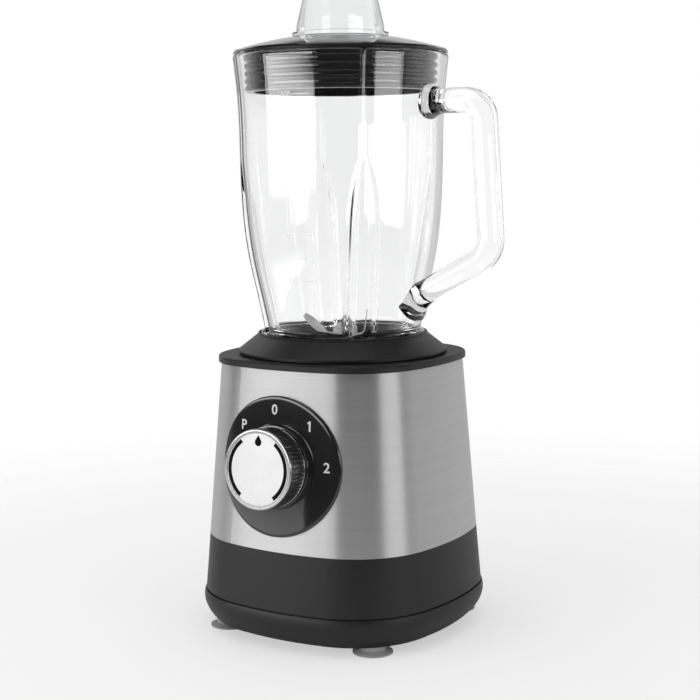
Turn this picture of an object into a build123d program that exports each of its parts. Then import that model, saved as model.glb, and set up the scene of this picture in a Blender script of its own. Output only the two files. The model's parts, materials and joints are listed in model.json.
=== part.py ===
from build123d import *
import os
from math import atan2, cos, degrees, radians, sin, sqrt

# Countertop blender: motor base with a speed knob, glass jug with its blade unit, lid and cup.
# Millimetres, +Z up. The knob faces -Y and the jug's handle points to +X. The pieces are drawn
# around the motor's axis, and at the end all are moved so that the origin lies on the floor
# under the middle of the whole blender.

# Clearances
seat_gap = 0.05          # between pieces that are fixed together
running_gap = 0.05       # round a shaft in its bearing or bush
slip_gap = 0.4           # between pieces that lift or turn past each other

# Outside of the motor base: half widths and corner radii of its rounded-square sections
pan_half = 76.9
pan_corner = 52.0
pan_belly_half = 82.8
pan_belly_corner = 58.0
rim_half = 85.0
rim_corner = 60.0
pan_top_half = 84.2
pan_top_corner = 59.2
skirt_low_half = 83.6
skirt_low_corner = 58.6
seam_half = 80.0
seam_corner = 52.5
shell_top_half = 71.0
shell_top_corner = 46.0
flange_half = 72.8
flange_corner = 47.0
side_radius = 173.0      # the sides bow out along this radius
foot_height = 5.0
pan_height = 20.0
pan_belly_height = 7.0
pan_rim_height = 15.0
skirt_height = 36.0
shell_height = 110.8
flange_thick = 4.2
flange_round = 1.4

# Walls of the base
pan_wall = 2.5
skirt_wall = 2.5
shell_wall = 1.0
groove = 1.0             # shadow line between the bottom cover and the skirt
lip_height = 5.0
lip_wall = 2.0

# Feet
foot_place = 54.0
foot_lip_radius = 12.4
foot_lip_thick = 0.9
foot_body_radius = 8.5
foot_flare_height = 2.5
foot_dish_radius = 8.0
foot_dish_depth = 1.2
foot_neck_radius = 4.0
foot_barb_radius = 5.2
foot_barb_height = 2.4

# Screws that tie the bottom cover to the posts of the top cover
tie_x = 58.0
tie_y = 30.0
tie_post_radius = 5.0
tie_tower_radius = 6.0
tie_tower_height = 15.0
tie_head_radius = 3.8
tie_head_height = 3.0
tie_head_depth = 9.0
tie_shank_radius = 2.0
tie_thread_length = 24.0
tie_hole_spare = 2.0
tie_recess_length = 4.6
tie_recess_width = 1.2
tie_recess_depth = 1.6

# Vent slots in the bottom cover
vent_count = 9
vent_pitch = 8.0
vent_width = 3.0
vent_length = 56.0

# Cord gland in the rear of the skirt
gland_rise = 15.0
gland_radius = 5.5
gland_bore = 3.5
gland_flange_radius = 8.5
gland_flange_thick = 2.2
gland_flange_room = 0.25   # between the flat flanges and the bowed wall
gland_lip = 1.0

# Speed dial on the front
dial_rise = 52.6
dial_radius = 43.2
dial_lift = 2.2
dial_edge_width = 0.8
dial_edge_lift = 1.3
dial_depth = 9.0         # how far the drawing of the plate reaches in and out, past its bow
dial_hub_radius = 14.0
dial_hub_depth = 3.0
pedestal_radius = 25.7
pedestal_lift = 5.6
pedestal_pocket_radius = 10.0

# Speed knob
knob_foot_radius = 24.6
knob_head_radius = 24.4
knob_standoff = 0.5
knob_height = 15.1
knob_rib_count = 60
knob_rib_depth = 0.7
knob_wall = 2.4
knob_hub_radius = 6.5
knob_head_thick = 5.0
knob_bezel_width = 2.7
knob_bezel_height = 2.2
knob_bezel_edge = 0.9
knob_bore_rise = 1.2
knob_hub_clearance = 1.4
knob_face_thick = 1.6
knob_face_drop = 0.3

# Rotary switch behind the dial
switch_side = 34.0
switch_depth = 20.0
switch_bush_radius = 5.0
switch_nut_width = 13.0
switch_nut_thick = 2.2
switch_shaft_radius = 3.0
switch_shaft_depth = 14.0
switch_bore_spare = 1.0

# Jug collar and the seat of the glass in it
collar_gap = 0.6
collar_height = 12.7
collar_foot_radius = 67.0
collar_foot_step = 1.5
collar_foot_edge = 0.9
collar_skirt_step = 5.0
collar_top_radius = 54.3
collar_top_edge = 1.6
collar_wall = 3.0
collar_ledge_thick = 3.5
collar_ledge_width = 8.0
neck_radius = 49.5
neck_length = 14.5
neck_wall = 10.0
seal_thick = 2.2
seal_width = 6.0

# Glass jug: outer radii from the foot to the rim, and the heights where they are met
bead_radius = 52.8
bead_height = 3.4
glass_wall = 4.2
jug_foot_radius = 50.4
jug_bowl_radius = 54.9
jug_shoulder_radius = 60.0
jug_belly_radius = 64.4
jug_throat_radius = 65.7
jug_rim_radius = 68.0
jug_foot_rise = 2.7
jug_bowl_rise = 24.7
jug_shoulder_rise = 49.0
jug_belly_rise = 108.7
jug_throat_rise = 150.0
jug_height = 174.7
rim_edge = 1.6

# Four flutes pressed into the glass between the handle and the spout
flute_count = 4
flute_radius = 6.6
flute_sink = 1.0
flute_foot_drop = 3.0
flute_arch_share = 0.55   # of the way from the shoulder to the belly, where the flutes start to close
flute_arch_radius = 5.6
flute_tip_radius = 0.1

# Spout
spout_reach = 5.5
spout_radius = 21.0
spout_foot_radius = 9.0
spout_length = 32.0

# Glass handle
handle_thick = 15.2
handle_width = 18.0
handle_top_rise = 144.2
handle_reach_top = 100.6
handle_reach_low = 106.6
handle_low_rise = 52.0
handle_root_rise = 21.0
handle_top_bend = 12.0
handle_low_bend = 15.0
handle_flare = 1.35
handle_flare_length = 9.0

# Blade unit
hub_radius = 9.5
hub_foot_radius = 13.0
hub_rise = 9.4
hub_drop = 3.6
housing_flange_thick = 3.0
housing_plate_thick = 3.5
housing_plate_rise = 2.0
housing_cone_width = 8.0
bush_radius = 6.5
bush_length = 6.0
shaft_seal_radius = 7.6
shaft_seal_height = 2.6
blade_shaft_radius = 4.0
blade_shaft_point = 2.0
blade_shaft_bevel = 1.0
blade_thick = 1.6
blade_spacer_radius = 7.0
blade_spacer_thick = 1.2
blade_nut_width = 12.0
blade_nut_height = 5.4
blade_hub_radius = 9.0
blade_angle = 32.4
clip_radius = 6.6
clip_thick = 1.2
clip_opening = 3.3

# Upper blade: one arm steep, one arm shallow; lower blade: two flatter arms
steep_arm = dict(bend_at=16.0, bend=74.0, length=17.0, root=11.0, tip=4.0, twist=0.0)
shallow_arm = dict(bend_at=9.0, bend=42.0, length=21.0, root=12.0, tip=4.5, twist=-38.0)
low_arm = dict(bend_at=12.0, bend=-6.0, length=19.0, root=13.0, tip=4.0, twist=8.0)
rise_arm = dict(bend_at=12.0, bend=12.0, length=18.0, root=13.0, tip=4.0, twist=-8.0)

# Coupling between motor and blade unit
coupling_lobes = 6
driven_radius = 8.0
driven_lobe_reach = 11.5
driven_lobe_width = 3.6
driven_height = 9.5
drive_radius = 15.5
drive_overlap = 8.0
drive_floor = 3.0
drive_floor_gap = 0.6

# Well in the top cover that takes the collar's skirt
well_clearance = 0.8
well_wall = 2.5
well_floor_thick = 3.0
well_floor_gap = 1.4
well_shaft_hole = 7.0
skirt_floor_gap = 2.0
key_count = 4
key_width = 8.0
key_reach = 2.4
key_drop = 7.0

# Motor
motor_bolt_place = 37.5
motor_bolt_radius = 2.0
motor_bolt_head_radius = 3.6
motor_bolt_head_height = 3.0
motor_boss_radius = 6.0
motor_boss_height = 8.0
damper_radius = 7.0
damper_height = 5.0
bracket_half = 43.5
bracket_thick = 4.5
bracket_leg_radius = 4.5
bracket_hub_radius = 15.0
bracket_hub_height = 9.0
bracket_window = 23.0
bracket_shaft_hole = 6.0
upper_leg = 12.0
lower_leg = 28.0
stator_half = 43.5
stator_corner = 9.0
stator_stack = 40.0
stator_bore = 26.0
air_gap = 0.6
coil_side_inner = 27.0
coil_side_outer = 33.0
coil_front = 25.5
coil_back = 34.0
coil_end = 9.0
motor_shaft_radius = 4.0
armature_end_radius = 22.5
armature_end_height = 8.0
armature_slots = 12
armature_slot_width = 2.4
armature_slot_depth = 6.0
commutator_radius = 13.0
commutator_length = 14.0
commutator_gap = 0.8
bearing_radius = 11.0
bearing_width = 7.0
brush_width = 7.0
brush_height = 9.0
brush_length = 15.0
brush_holder_wall = 2.0
brush_holder_length = 22.0
brush_gap = 0.3
spring_wire = 1.0
fan_radius = 40.0
fan_hub_radius = 9.0
fan_height = 10.0
fan_disc_thick = 2.0
fan_blades = 14
fan_blade_thick = 1.6
fan_gap = 3.0
shaft_tail = 3.0

# Terminal block and internal leads
block_length = 30.0
block_width = 14.0
block_height = 16.0
block_place = 58.0
lead_radius = 1.3
lead_bend = 5.2
motor_lead_start = 10.0
switch_lead_start = 3.8
switch_lead_end = 8.5
lead_clearance = 6.0
switch_lead_rise = 14.0

# Lid
lid_radius = 67.7
lid_gap = 0.4
lid_rim_thick = 2.4
lid_rise = 8.0
lid_wall = 2.4
lid_hole_radius = 25.6
lid_hole_wall = 2.2
lid_hole_drop = 16.0
lid_top_radius = 31.0
lid_edge_round = 1.6
lid_bulge = 0.5
lid_skirt_depth = 23.5
lid_skirt_wall = 2.4
gasket_base = 1.6
gasket_ridges = 5
gasket_ridge_depth = 2.0
gasket_ridge_share = 0.7   # of each ridge's pitch

# Measuring cup
cup_wall = 2.2
cup_flange_radius = 30.4
cup_flange_thick = 2.4
cup_skirt_length = 26.0
cup_shoulder_radius = 27.6
cup_top_radius = 23.2
cup_rise = 26.0
cup_shoulder_rise = 4.0
cup_edge = 3.0

# Heights of the base, from the floor up
pan_z = foot_height
skirt_z = pan_z + pan_height
shell_z = skirt_z + skirt_height
flange_z = shell_z + shell_height
deck_z = flange_z + flange_thick
pan_floor_z = pan_z + pan_wall
tower_z = pan_z + tie_tower_height
block_top_z = pan_floor_z + block_height

# Heights of the jug and its blade unit
collar_foot_z = deck_z + collar_gap
collar_top_z = collar_foot_z + collar_height
neck_z = collar_top_z - neck_length
seal_z = neck_z - seal_thick
ledge_z = seal_z - housing_flange_thick
hub_top_z = seal_z + hub_rise
hub_low_z = ledge_z - hub_drop
rim_z = collar_top_z + jug_height
clip_z = hub_low_z - slip_gap - clip_thick
driven_z = clip_z - driven_height
socket_z = driven_z - drive_floor_gap
drive_z = socket_z - drive_floor
well_z = drive_z - well_floor_gap
lower_blade_z = hub_top_z + slip_gap
spacer_z = lower_blade_z + blade_thick
upper_blade_z = spacer_z + blade_spacer_thick
nut_z = upper_blade_z + blade_thick

# Heights of the motor, from the well down
well_low_z = well_z - well_floor_thick
boss_low_z = well_low_z - motor_boss_height
upper_bracket_z = boss_low_z - damper_height - bracket_thick
stack_top_z = upper_bracket_z - upper_leg
stack_z = stack_top_z - stator_stack
lower_bracket_z = stack_z - lower_leg - bracket_thick
brush_z = lower_bracket_z + bracket_thick + brush_holder_wall + brush_height / 2
fan_top_z = lower_bracket_z - (bracket_hub_height - bracket_thick) - fan_gap
fan_z = fan_top_z - fan_height
shaft_low_z = fan_z - shaft_tail

# Radii that follow from the fits
collar_bore = neck_radius + slip_gap
skirt_radius = collar_foot_radius - collar_foot_step - collar_skirt_step
well_radius = skirt_radius + well_clearance
armature_radius = stator_bore - air_gap
shaft_bore = motor_shaft_radius + running_gap
knob_face_radius = knob_head_radius - knob_bezel_width

# The front of the steel shell leans back; the dial lies on its middle line
face_lean = atan2(seam_half - shell_top_half, shell_height)
dial_y = dial_rise * sin(face_lean) - seam_half
dial_z = shell_z + dial_rise * cos(face_lean)
dial_plane = Plane((0, dial_y, dial_z), x_dir=(1, 0, 0), z_dir=(0, -cos(face_lean), sin(face_lean)))

STANDING = (Align.CENTER, Align.CENTER, Align.MIN)
QUARTERS = [(1, 1), (-1, 1), (-1, -1), (1, -1)]


def disc(radius, low, high):
    """Upright cylinder on the axis between two heights."""
    return Pos(0, 0, low) * Cylinder(radius, high - low, align=STANDING)


def ring(outer, inner, low, high):
    """Upright ring on the axis between two heights."""
    return disc(outer, low, high) - disc(inner, low, high)


def block(x_size, y_size, low, high):
    """Upright box on the axis between two heights."""
    return Pos(0, 0, low) * Box(x_size, y_size, high - low, align=STANDING)


def at_quarters(piece, x, y):
    """Four copies of a piece, one in each quarter."""
    return [Pos(sx * x, sy * y, 0) * piece for sx, sy in QUARTERS]


def around(piece, count, start=0.0):
    """Copies of a piece, evenly turned about the axis."""
    return [Rot(0, 0, start + 360 * k / count) * piece for k in range(count)]


def turned(*points):
    """Solid turned about the axis from (radius, height) corners."""
    return revolve(Plane.XZ * make_face(Polyline(*points, close=True)), Axis.Z)


def turned_from(*edges):
    """Solid turned about the axis from edges drawn in (radius, height)."""
    return revolve(Plane.XZ * make_face(edges), Axis.Z)


def hexagon(width, low, high):
    """Upright hexagonal prism, measured across its flats."""
    return extrude(Pos(0, 0, low) * RegularPolygon(width / 2, 6, major_radius=False), high - low)


def base_section(half, corner, height, inset=0.0):
    """Rounded square with bowed sides, at a height, drawn in by an inset."""
    half = half - inset
    bow = side_radius - inset
    middle = bow - half
    tip = (sqrt(2 * bow**2 - middle**2) - middle) / 2
    tips = [(sx * tip, sy * tip) for sx, sy in QUARTERS]
    mids = [(0, half), (-half, 0), (0, -half), (half, 0)]
    sides = [ThreePointArc(tips[k], mids[k], tips[(k + 1) % 4]) for k in range(4)]
    outline = make_face(sides)
    return Pos(0, 0, height) * fillet(outline.vertices(), corner - inset)


def shell_block(inset, low=0.0, high=0.0):
    """Solid inside the steel shell's outline, drawn in by an inset and lengthened at its ends."""
    return loft([shell_section(-low, inset), shell_section(shell_height + high, inset)], ruled=True)


def shell_section(rise, inset=0.0):
    """Section of the steel shell at a rise above its lower edge."""
    share = rise / shell_height
    half = seam_half + (shell_top_half - seam_half) * share
    corner = seam_corner + (shell_top_corner - seam_corner) * share
    return base_section(half, corner, shell_z + rise, inset)


def skirt_section(rise, inset=0.0):
    """Section of the skirt at a rise above its lower edge."""
    share = rise / skirt_height
    half = skirt_low_half + (seam_half - skirt_low_half) * share
    corner = skirt_low_corner + (seam_corner - skirt_low_corner) * share
    return base_section(half, corner, skirt_z + rise, inset)


def pan_block(inset, low):
    """Bowl-shaped solid of the bottom cover, from a height up to its top edge."""
    sections = [base_section(pan_half, pan_corner, low, inset)]
    sections.append(base_section(pan_belly_half, pan_belly_corner, pan_z + pan_belly_height, inset))
    sections.append(base_section(rim_half, rim_corner, pan_z + pan_rim_height, inset))
    sections.append(base_section(pan_top_half, pan_top_corner, skirt_z - groove, inset))
    return loft(sections)


def lip_ring(section, low, high):
    """Locating lip: a ring inside a section, between two heights."""
    outer = Pos(0, 0, low - section(0.0).center().Z) * section(0.0)
    inner = Pos(0, 0, low - section(lip_wall).center().Z) * section(lip_wall)
    return extrude(outer, high - low) - extrude(inner, high - low)


def make_bottom_cover():
    """Bowl with a floor, vent slots, foot holes and screw towers."""
    cover = pan_block(0, pan_z) - pan_block(pan_wall, pan_floor_z)
    lip_inset = skirt_wall + slip_gap
    cover += lip_ring(lambda depth: skirt_section(lip_height, lip_inset + depth),
                      skirt_z - groove - lip_height, skirt_z + lip_height)
    step = extrude(skirt_section(0, groove), -groove)
    cover += step - extrude(skirt_section(0, skirt_wall + lip_wall), -groove)
    tower = disc(tie_tower_radius, pan_z, tower_z)
    cover += at_quarters(tower, tie_x, tie_y)
    recess = disc(tie_head_radius + slip_gap, pan_z, pan_z + tie_head_depth)
    recess += disc(tie_shank_radius + slip_gap, pan_z, tower_z)
    cover -= at_quarters(recess, tie_x, tie_y)
    cover -= at_quarters(disc(foot_neck_radius + seat_gap, pan_z, pan_floor_z), foot_place, foot_place)
    for k in range(vent_count):
        slot = block(vent_width, vent_length, pan_z, pan_floor_z)
        cover -= Pos((k - (vent_count - 1) / 2) * vent_pitch, 0, 0) * slot
    return cover


def make_foot():
    """Push-in rubber foot with a flared lip and a barb above the floor of the cover."""
    barb_z = pan_floor_z + seat_gap
    return turned(
        (0, foot_dish_depth), (foot_dish_radius, 0),
        (foot_lip_radius, 0), (foot_lip_radius, foot_lip_thick),
        (foot_body_radius, foot_flare_height), (foot_body_radius, foot_height),
        (foot_neck_radius, foot_height), (foot_neck_radius, barb_z),
        (foot_barb_radius, barb_z), (foot_neck_radius, barb_z + foot_barb_height),
        (0, barb_z + foot_barb_height))


def make_tie_screw():
    """Long screw from the bottom cover into a post of the top cover, with a cross recess."""
    head_top = pan_z + tie_head_depth
    head_low = head_top - tie_head_height
    recess_top = head_low + tie_recess_depth
    head = disc(tie_head_radius, head_low, head_top)
    head -= block(tie_recess_length, tie_recess_width, head_low, recess_top)
    head -= block(tie_recess_width, tie_recess_length, head_low, recess_top)
    return head + disc(tie_shank_radius, head_top, tower_z + tie_thread_length)


def gland_plane():
    """Plane on the rear of the skirt, facing out, where the cord would enter."""
    lean = atan2(skirt_low_half - seam_half, skirt_height)
    place = (0, skirt_low_half - gland_rise * sin(lean), skirt_z + gland_rise * cos(lean))
    return Plane(place, x_dir=(-1, 0, 0), z_dir=(0, cos(lean), sin(lean)))


def make_lower_skirt():
    """Black band between the bottom cover and the steel, with a lip inside the steel."""
    skirt = loft([skirt_section(0), skirt_section(skirt_height)], ruled=True)
    skirt -= loft([skirt_section(0, skirt_wall), skirt_section(skirt_height, skirt_wall)], ruled=True)
    lip_inset = shell_wall + slip_gap
    skirt += lip_ring(lambda depth: shell_section(lip_height, lip_inset + depth),
                      shell_z - lip_height, shell_z + lip_height)
    hole = Cylinder(gland_radius + seat_gap, 2 * gland_flange_radius)
    return skirt - gland_plane() * hole


def make_cord_gland():
    """Rubber bush with a flange on each side of the skirt's wall."""
    inner = -skirt_wall - gland_flange_room
    outer = gland_flange_room
    gland = turned(
        (gland_bore, inner - gland_flange_thick), (gland_flange_radius, inner - gland_flange_thick),
        (gland_flange_radius, inner), (gland_radius, inner), (gland_radius, outer),
        (gland_flange_radius, outer), (gland_bore + gland_lip, outer + gland_flange_thick),
        (gland_bore, outer + gland_flange_thick))
    return gland_plane() * gland


def make_steel_shell():
    """Brushed-steel sleeve with a round hole for the dial."""
    shell = shell_block(0) - shell_block(shell_wall)
    hole = Cylinder(dial_hub_radius + seat_gap, 2 * dial_depth)
    front = Pos(0, -seam_half, 0) * block(2 * seam_half, seam_half, shell_z, flange_z)
    return shell - (dial_plane * hole & front)


def make_top_cover():
    """Deck with its flange, the well for the collar, posts, bosses and keys."""
    deck = extrude(base_section(flange_half, flange_corner, flange_z), flange_thick)
    deck = fillet(deck.edges().group_by(Axis.Z)[-1], flange_round)
    lip_inset = shell_wall + slip_gap
    deck += lip_ring(lambda depth: shell_section(shell_height, lip_inset + depth),
                     flange_z - lip_height, flange_z)
    deck += disc(well_radius + well_wall, well_low_z, flange_z)
    deck += at_quarters(disc(tie_post_radius, tower_z, flange_z), tie_x, tie_y)
    deck += at_quarters(disc(motor_boss_radius, boss_low_z, well_low_z), motor_bolt_place, motor_bolt_place)
    deck -= disc(well_radius, well_z, deck_z)
    deck -= disc(well_shaft_hole, well_low_z, well_z)
    screw_hole = disc(tie_shank_radius + seat_gap, tower_z, tower_z + tie_thread_length + tie_hole_spare)
    deck -= at_quarters(screw_hole, tie_x, tie_y)
    bolt_hole = disc(motor_bolt_radius + seat_gap, boss_low_z, well_low_z)
    deck -= at_quarters(bolt_hole, motor_bolt_place, motor_bolt_place)
    key = block(2 * key_reach, key_width, well_z, deck_z - key_drop)
    keys = around(Pos(well_radius, 0, 0) * key, key_count, 45)
    return deck + [piece & disc(well_radius + well_wall / 2, well_z, deck_z) for piece in keys]


def dial_layer(radius, lift):
    """Round layer that follows the bowed steel, lifted off it."""
    return dial_plane * disc(radius, -dial_depth, dial_depth) & shell_block(-lift)


def make_dial_plate():
    """Round plate that follows the bowed steel, with a stepped edge, a pedestal and a hub."""
    plate = dial_layer(dial_radius, dial_edge_lift) + dial_layer(dial_radius - dial_edge_width, dial_lift)
    plate += dial_plane * disc(pedestal_radius, -dial_depth, pedestal_lift)
    plate -= shell_block(-seat_gap)
    plate += dial_plane * disc(dial_hub_radius, -dial_hub_depth, dial_lift / 2)
    plate -= dial_plane * disc(pedestal_pocket_radius, dial_lift, pedestal_lift)
    return plate - dial_plane * disc(switch_bush_radius + seat_gap, -dial_hub_depth, dial_lift)


def make_rotary_switch():
    """Switch body with a bush through the dial's hub."""
    body = block(switch_side, switch_side, -dial_hub_depth - switch_depth, -dial_hub_depth)
    body += disc(switch_bush_radius, -dial_hub_depth, dial_lift + switch_nut_thick)
    bore_low = -dial_hub_depth - switch_shaft_depth - switch_bore_spare
    bore = disc(switch_shaft_radius + running_gap, bore_low, dial_lift + switch_nut_thick)
    return dial_plane * (body - bore)


def make_switch_nut():
    """Nut on the switch's bush, in front of the dial plate."""
    nut = hexagon(switch_nut_width, dial_lift, dial_lift + switch_nut_thick)
    return dial_plane * (nut - disc(switch_bush_radius + seat_gap, dial_lift, dial_lift + switch_nut_thick))


knob_low = pedestal_lift + knob_standoff
knob_top = knob_low + knob_height
knob_floor = knob_top - knob_head_thick
knob_hub_low = dial_lift + switch_nut_thick + knob_hub_clearance
knob_bore_top = knob_floor + knob_bore_rise


def rib_outline(radius, height):
    """Polygon of alternating radii round the knob."""
    points = []
    for k in range(2 * knob_rib_count):
        reach = radius - knob_rib_depth * (k % 2)
        angle = radians(180 * k / knob_rib_count)
        points.append((reach * cos(angle), reach * sin(angle)))
    return Pos(0, 0, height) * make_face(Polyline(*points, close=True))


def make_knob_body():
    """Ribbed hollow knob with a plain bezel round its face and a hub on the shaft."""
    bezel_low = knob_top - knob_bezel_height
    foot = rib_outline(knob_foot_radius, knob_low)
    grip = loft([foot, rib_outline(knob_head_radius, bezel_low)], ruled=True)
    bezel = disc(knob_head_radius, bezel_low, knob_top)
    bezel = fillet(bezel.edges().group_by(Axis.Z)[-1], knob_bezel_edge)
    knob = grip + bezel - disc(knob_head_radius - knob_wall, knob_low, knob_floor)
    knob += disc(knob_hub_radius, knob_hub_low, knob_floor)
    knob -= disc(switch_shaft_radius + seat_gap, knob_hub_low, knob_bore_top)
    knob -= disc(knob_face_radius + seat_gap, knob_top - knob_face_drop - knob_face_thick, knob_top)
    return dial_plane * knob


def make_knob_face():
    """Flat disc set into the knob's bezel."""
    face_top = knob_top - knob_face_drop
    return dial_plane * disc(knob_face_radius, face_top - knob_face_thick, face_top)


def make_switch_shaft():
    """Shaft from the switch into the knob's hub."""
    return dial_plane * disc(switch_shaft_radius, -dial_hub_depth - switch_shaft_depth, knob_bore_top)


def glass_outline(inset, top):
    """Edges of the glass wall's line from the foot to the rim, drawn in by an inset."""
    wall_points = [
        (jug_foot_radius - inset, collar_top_z + jug_foot_rise),
        (jug_bowl_radius - inset, collar_top_z + jug_bowl_rise),
        (jug_shoulder_radius - inset, collar_top_z + jug_shoulder_rise),
        (jug_belly_radius - inset, collar_top_z + jug_belly_rise),
        (jug_throat_radius - inset, collar_top_z + jug_throat_rise),
        (jug_rim_radius - inset, top)]
    return Spline(*wall_points)


def jug_outside():
    """Solid of the glass's outer form: neck, bead, wall and rounded rim."""
    bead_low = collar_top_z - bead_height / 2
    wall = glass_outline(0, rim_z - rim_edge)
    foot = wall @ 0
    top = wall @ 1
    bead_top = (jug_foot_radius, collar_top_z + bead_height / 2)
    return turned_from(
        Line((0, neck_z), (neck_radius, neck_z)),
        Line((neck_radius, neck_z), (neck_radius, bead_low)),
        ThreePointArc((neck_radius, bead_low), (bead_radius, collar_top_z), bead_top),
        Line(bead_top, foot),
        wall,
        RadiusArc(top, (jug_rim_radius - rim_edge, rim_z), -rim_edge),
        Line((jug_rim_radius - rim_edge, rim_z), (0, rim_z)),
        Line((0, rim_z), (0, neck_z)))


def jug_inside():
    """Solid of the space in the glass."""
    wall = glass_outline(glass_wall, rim_z)
    foot = wall @ 0
    top = wall @ 1
    throat = neck_radius - neck_wall
    return turned_from(
        Line((0, neck_z), (throat, neck_z)),
        Line((throat, neck_z), (throat, collar_top_z - bead_height)),
        Line((throat, collar_top_z - bead_height), foot),
        wall,
        Line(top, (0, rim_z)),
        Line((0, rim_z), (0, neck_z)))


def flutes(grow):
    """Grooves with an arched upper end, down to the foot; grown by the wall for the inner side."""
    arch_wall = jug_shoulder_radius + (jug_belly_radius - jug_shoulder_radius) * flute_arch_share
    arch_rise = jug_shoulder_rise + (jug_belly_rise - jug_shoulder_rise) * flute_arch_share
    stations = [
        (jug_foot_radius, -flute_foot_drop, flute_radius), (jug_bowl_radius, jug_bowl_rise, flute_radius),
        (jug_shoulder_radius, jug_shoulder_rise, flute_radius), (arch_wall, arch_rise, flute_arch_radius),
        (jug_belly_radius, jug_belly_rise, flute_tip_radius)]
    circles = []
    for wall, rise, radius in stations:
        place = Pos(wall + flute_sink * radius / flute_radius, 0, collar_top_z + rise)
        circles.append(place * Circle(radius + grow))
    return around(loft(circles), flute_count, 45)


def spout(inset):
    """Cone leaning out of the rim on the side away from the handle."""
    reach = jug_rim_radius + spout_reach - spout_radius
    low_reach = jug_throat_radius - spout_foot_radius
    foot = Pos(-low_reach, 0, rim_z - spout_length) * Circle(spout_foot_radius - inset)
    mouth = Pos(-reach, 0, rim_z) * Circle(spout_radius - inset)
    return loft([foot, mouth], ruled=True)


def make_handle():
    """Glass bar from below the rim, down the grip and back to the bowl, flared at its roots."""
    top_z = collar_top_z + handle_top_rise
    low_z = collar_top_z + handle_low_rise
    root_z = collar_top_z + handle_root_rise
    top_root = (jug_belly_radius - glass_wall / 2, 0, top_z)
    low_root = (jug_bowl_radius - glass_wall / 2, 0, root_z)
    corner = (handle_reach_top, 0, top_z)
    elbow = (handle_reach_low, 0, low_z)
    path = FilletPolyline(top_root, corner, elbow, low_root, radius=(handle_top_bend, handle_low_bend))
    bar = sweep(handle_section(path, 0, 1), path)
    for place, step in ((0, 1), (1, -1)):
        run = path.edges()[0 if place == 0 else -1]
        length = handle_flare_length / run.length
        far = length if place == 0 else 1 - length
        bar += loft([handle_section(run, place, handle_flare), handle_section(run, far, 1)], ruled=True)
    return bar


def handle_section(path, place, scale):
    """Oval section of the handle across its path."""
    plane = Plane(path @ place, x_dir=(0, 1, 0), z_dir=path % place)
    return plane * Ellipse(handle_width / 2 * scale, handle_thick / 2 * scale)


def make_glass_jug():
    """Fluted glass jug with spout and handle, open at the neck and the rim."""
    glass = jug_outside() - flutes(0)
    glass += make_handle()
    glass += spout(0)
    glass -= spout(glass_wall)
    space = jug_inside() - flutes(glass_wall)
    return glass - space


def make_jug_collar():
    """Conical ring that holds the glass and the blade unit, with a skirt for the well."""
    foot_z = collar_foot_z + collar_foot_edge
    skirt_low_z = well_z + skirt_floor_gap
    bead_seat = collar_top_z - bead_height
    mouth = bead_radius + slip_gap
    ledge_low_z = ledge_z - collar_ledge_thick
    collar = turned(
        (skirt_radius, skirt_low_z), (skirt_radius, collar_foot_z),
        (collar_foot_radius - collar_foot_step, collar_foot_z),
        (collar_foot_radius - collar_foot_step, foot_z),
        (collar_foot_radius, foot_z), (collar_foot_radius, foot_z + collar_foot_edge),
        (collar_top_radius + collar_top_edge / 2, collar_top_z - collar_top_edge),
        (collar_top_radius, collar_top_z), (mouth, collar_top_z), (mouth, bead_seat),
        (collar_bore, bead_seat), (collar_bore, ledge_z),
        (collar_bore - collar_ledge_width, ledge_z), (collar_bore - collar_ledge_width, ledge_low_z),
        (skirt_radius - collar_wall, ledge_low_z), (skirt_radius - collar_wall, skirt_low_z))
    slot_top = deck_z - key_drop + slip_gap
    slot = block(2 * (key_reach + slip_gap), key_width + 2 * slip_gap, skirt_low_z, slot_top)
    return collar - around(Pos(well_radius, 0, 0) * slot, key_count, 45)


def make_jug_seal():
    """Flat ring between the glass and the blade housing."""
    return ring(neck_radius, neck_radius - seal_width, seal_z, neck_z)


def make_blade_housing():
    """Plate with a hub, clamped in the collar under the glass."""
    rim = collar_bore - slip_gap / 2
    throat = neck_radius - neck_wall - slip_gap
    plate_z = ledge_z + housing_plate_rise
    plate_top = plate_z + housing_plate_thick
    housing = turned(
        (0, hub_low_z), (hub_radius, hub_low_z), (hub_foot_radius, plate_z),
        (throat - housing_cone_width, plate_z), (throat, ledge_z), (rim, ledge_z),
        (rim, seal_z), (throat, seal_z), (throat, plate_top),
        (hub_foot_radius, plate_top), (hub_radius, hub_top_z), (0, hub_top_z))
    housing -= disc(blade_shaft_radius + slip_gap, hub_low_z, hub_top_z)
    housing -= disc(bush_radius + seat_gap, hub_low_z, hub_low_z + bush_length)
    housing -= disc(bush_radius + seat_gap, hub_top_z - shaft_seal_height - bush_length, hub_top_z)
    return housing - disc(shaft_seal_radius + seat_gap, hub_top_z - shaft_seal_height, hub_top_z)


def make_bush(low):
    """Plain bearing bush for the blade shaft."""
    return ring(bush_radius, blade_shaft_radius + running_gap, low, low + bush_length)


def make_shaft_seal():
    """Ring seal over the upper bush."""
    low = hub_top_z - shaft_seal_height
    return ring(shaft_seal_radius, blade_shaft_radius + running_gap, low, hub_top_z)


def make_blade_shaft():
    """Shaft through the housing, with a pointed end above the nut."""
    top = nut_z + blade_nut_height + blade_shaft_point
    shaft = disc(blade_shaft_radius, driven_z, top)
    return chamfer(shaft.edges().group_by(Axis.Z)[-1], blade_shaft_bevel)


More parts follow.
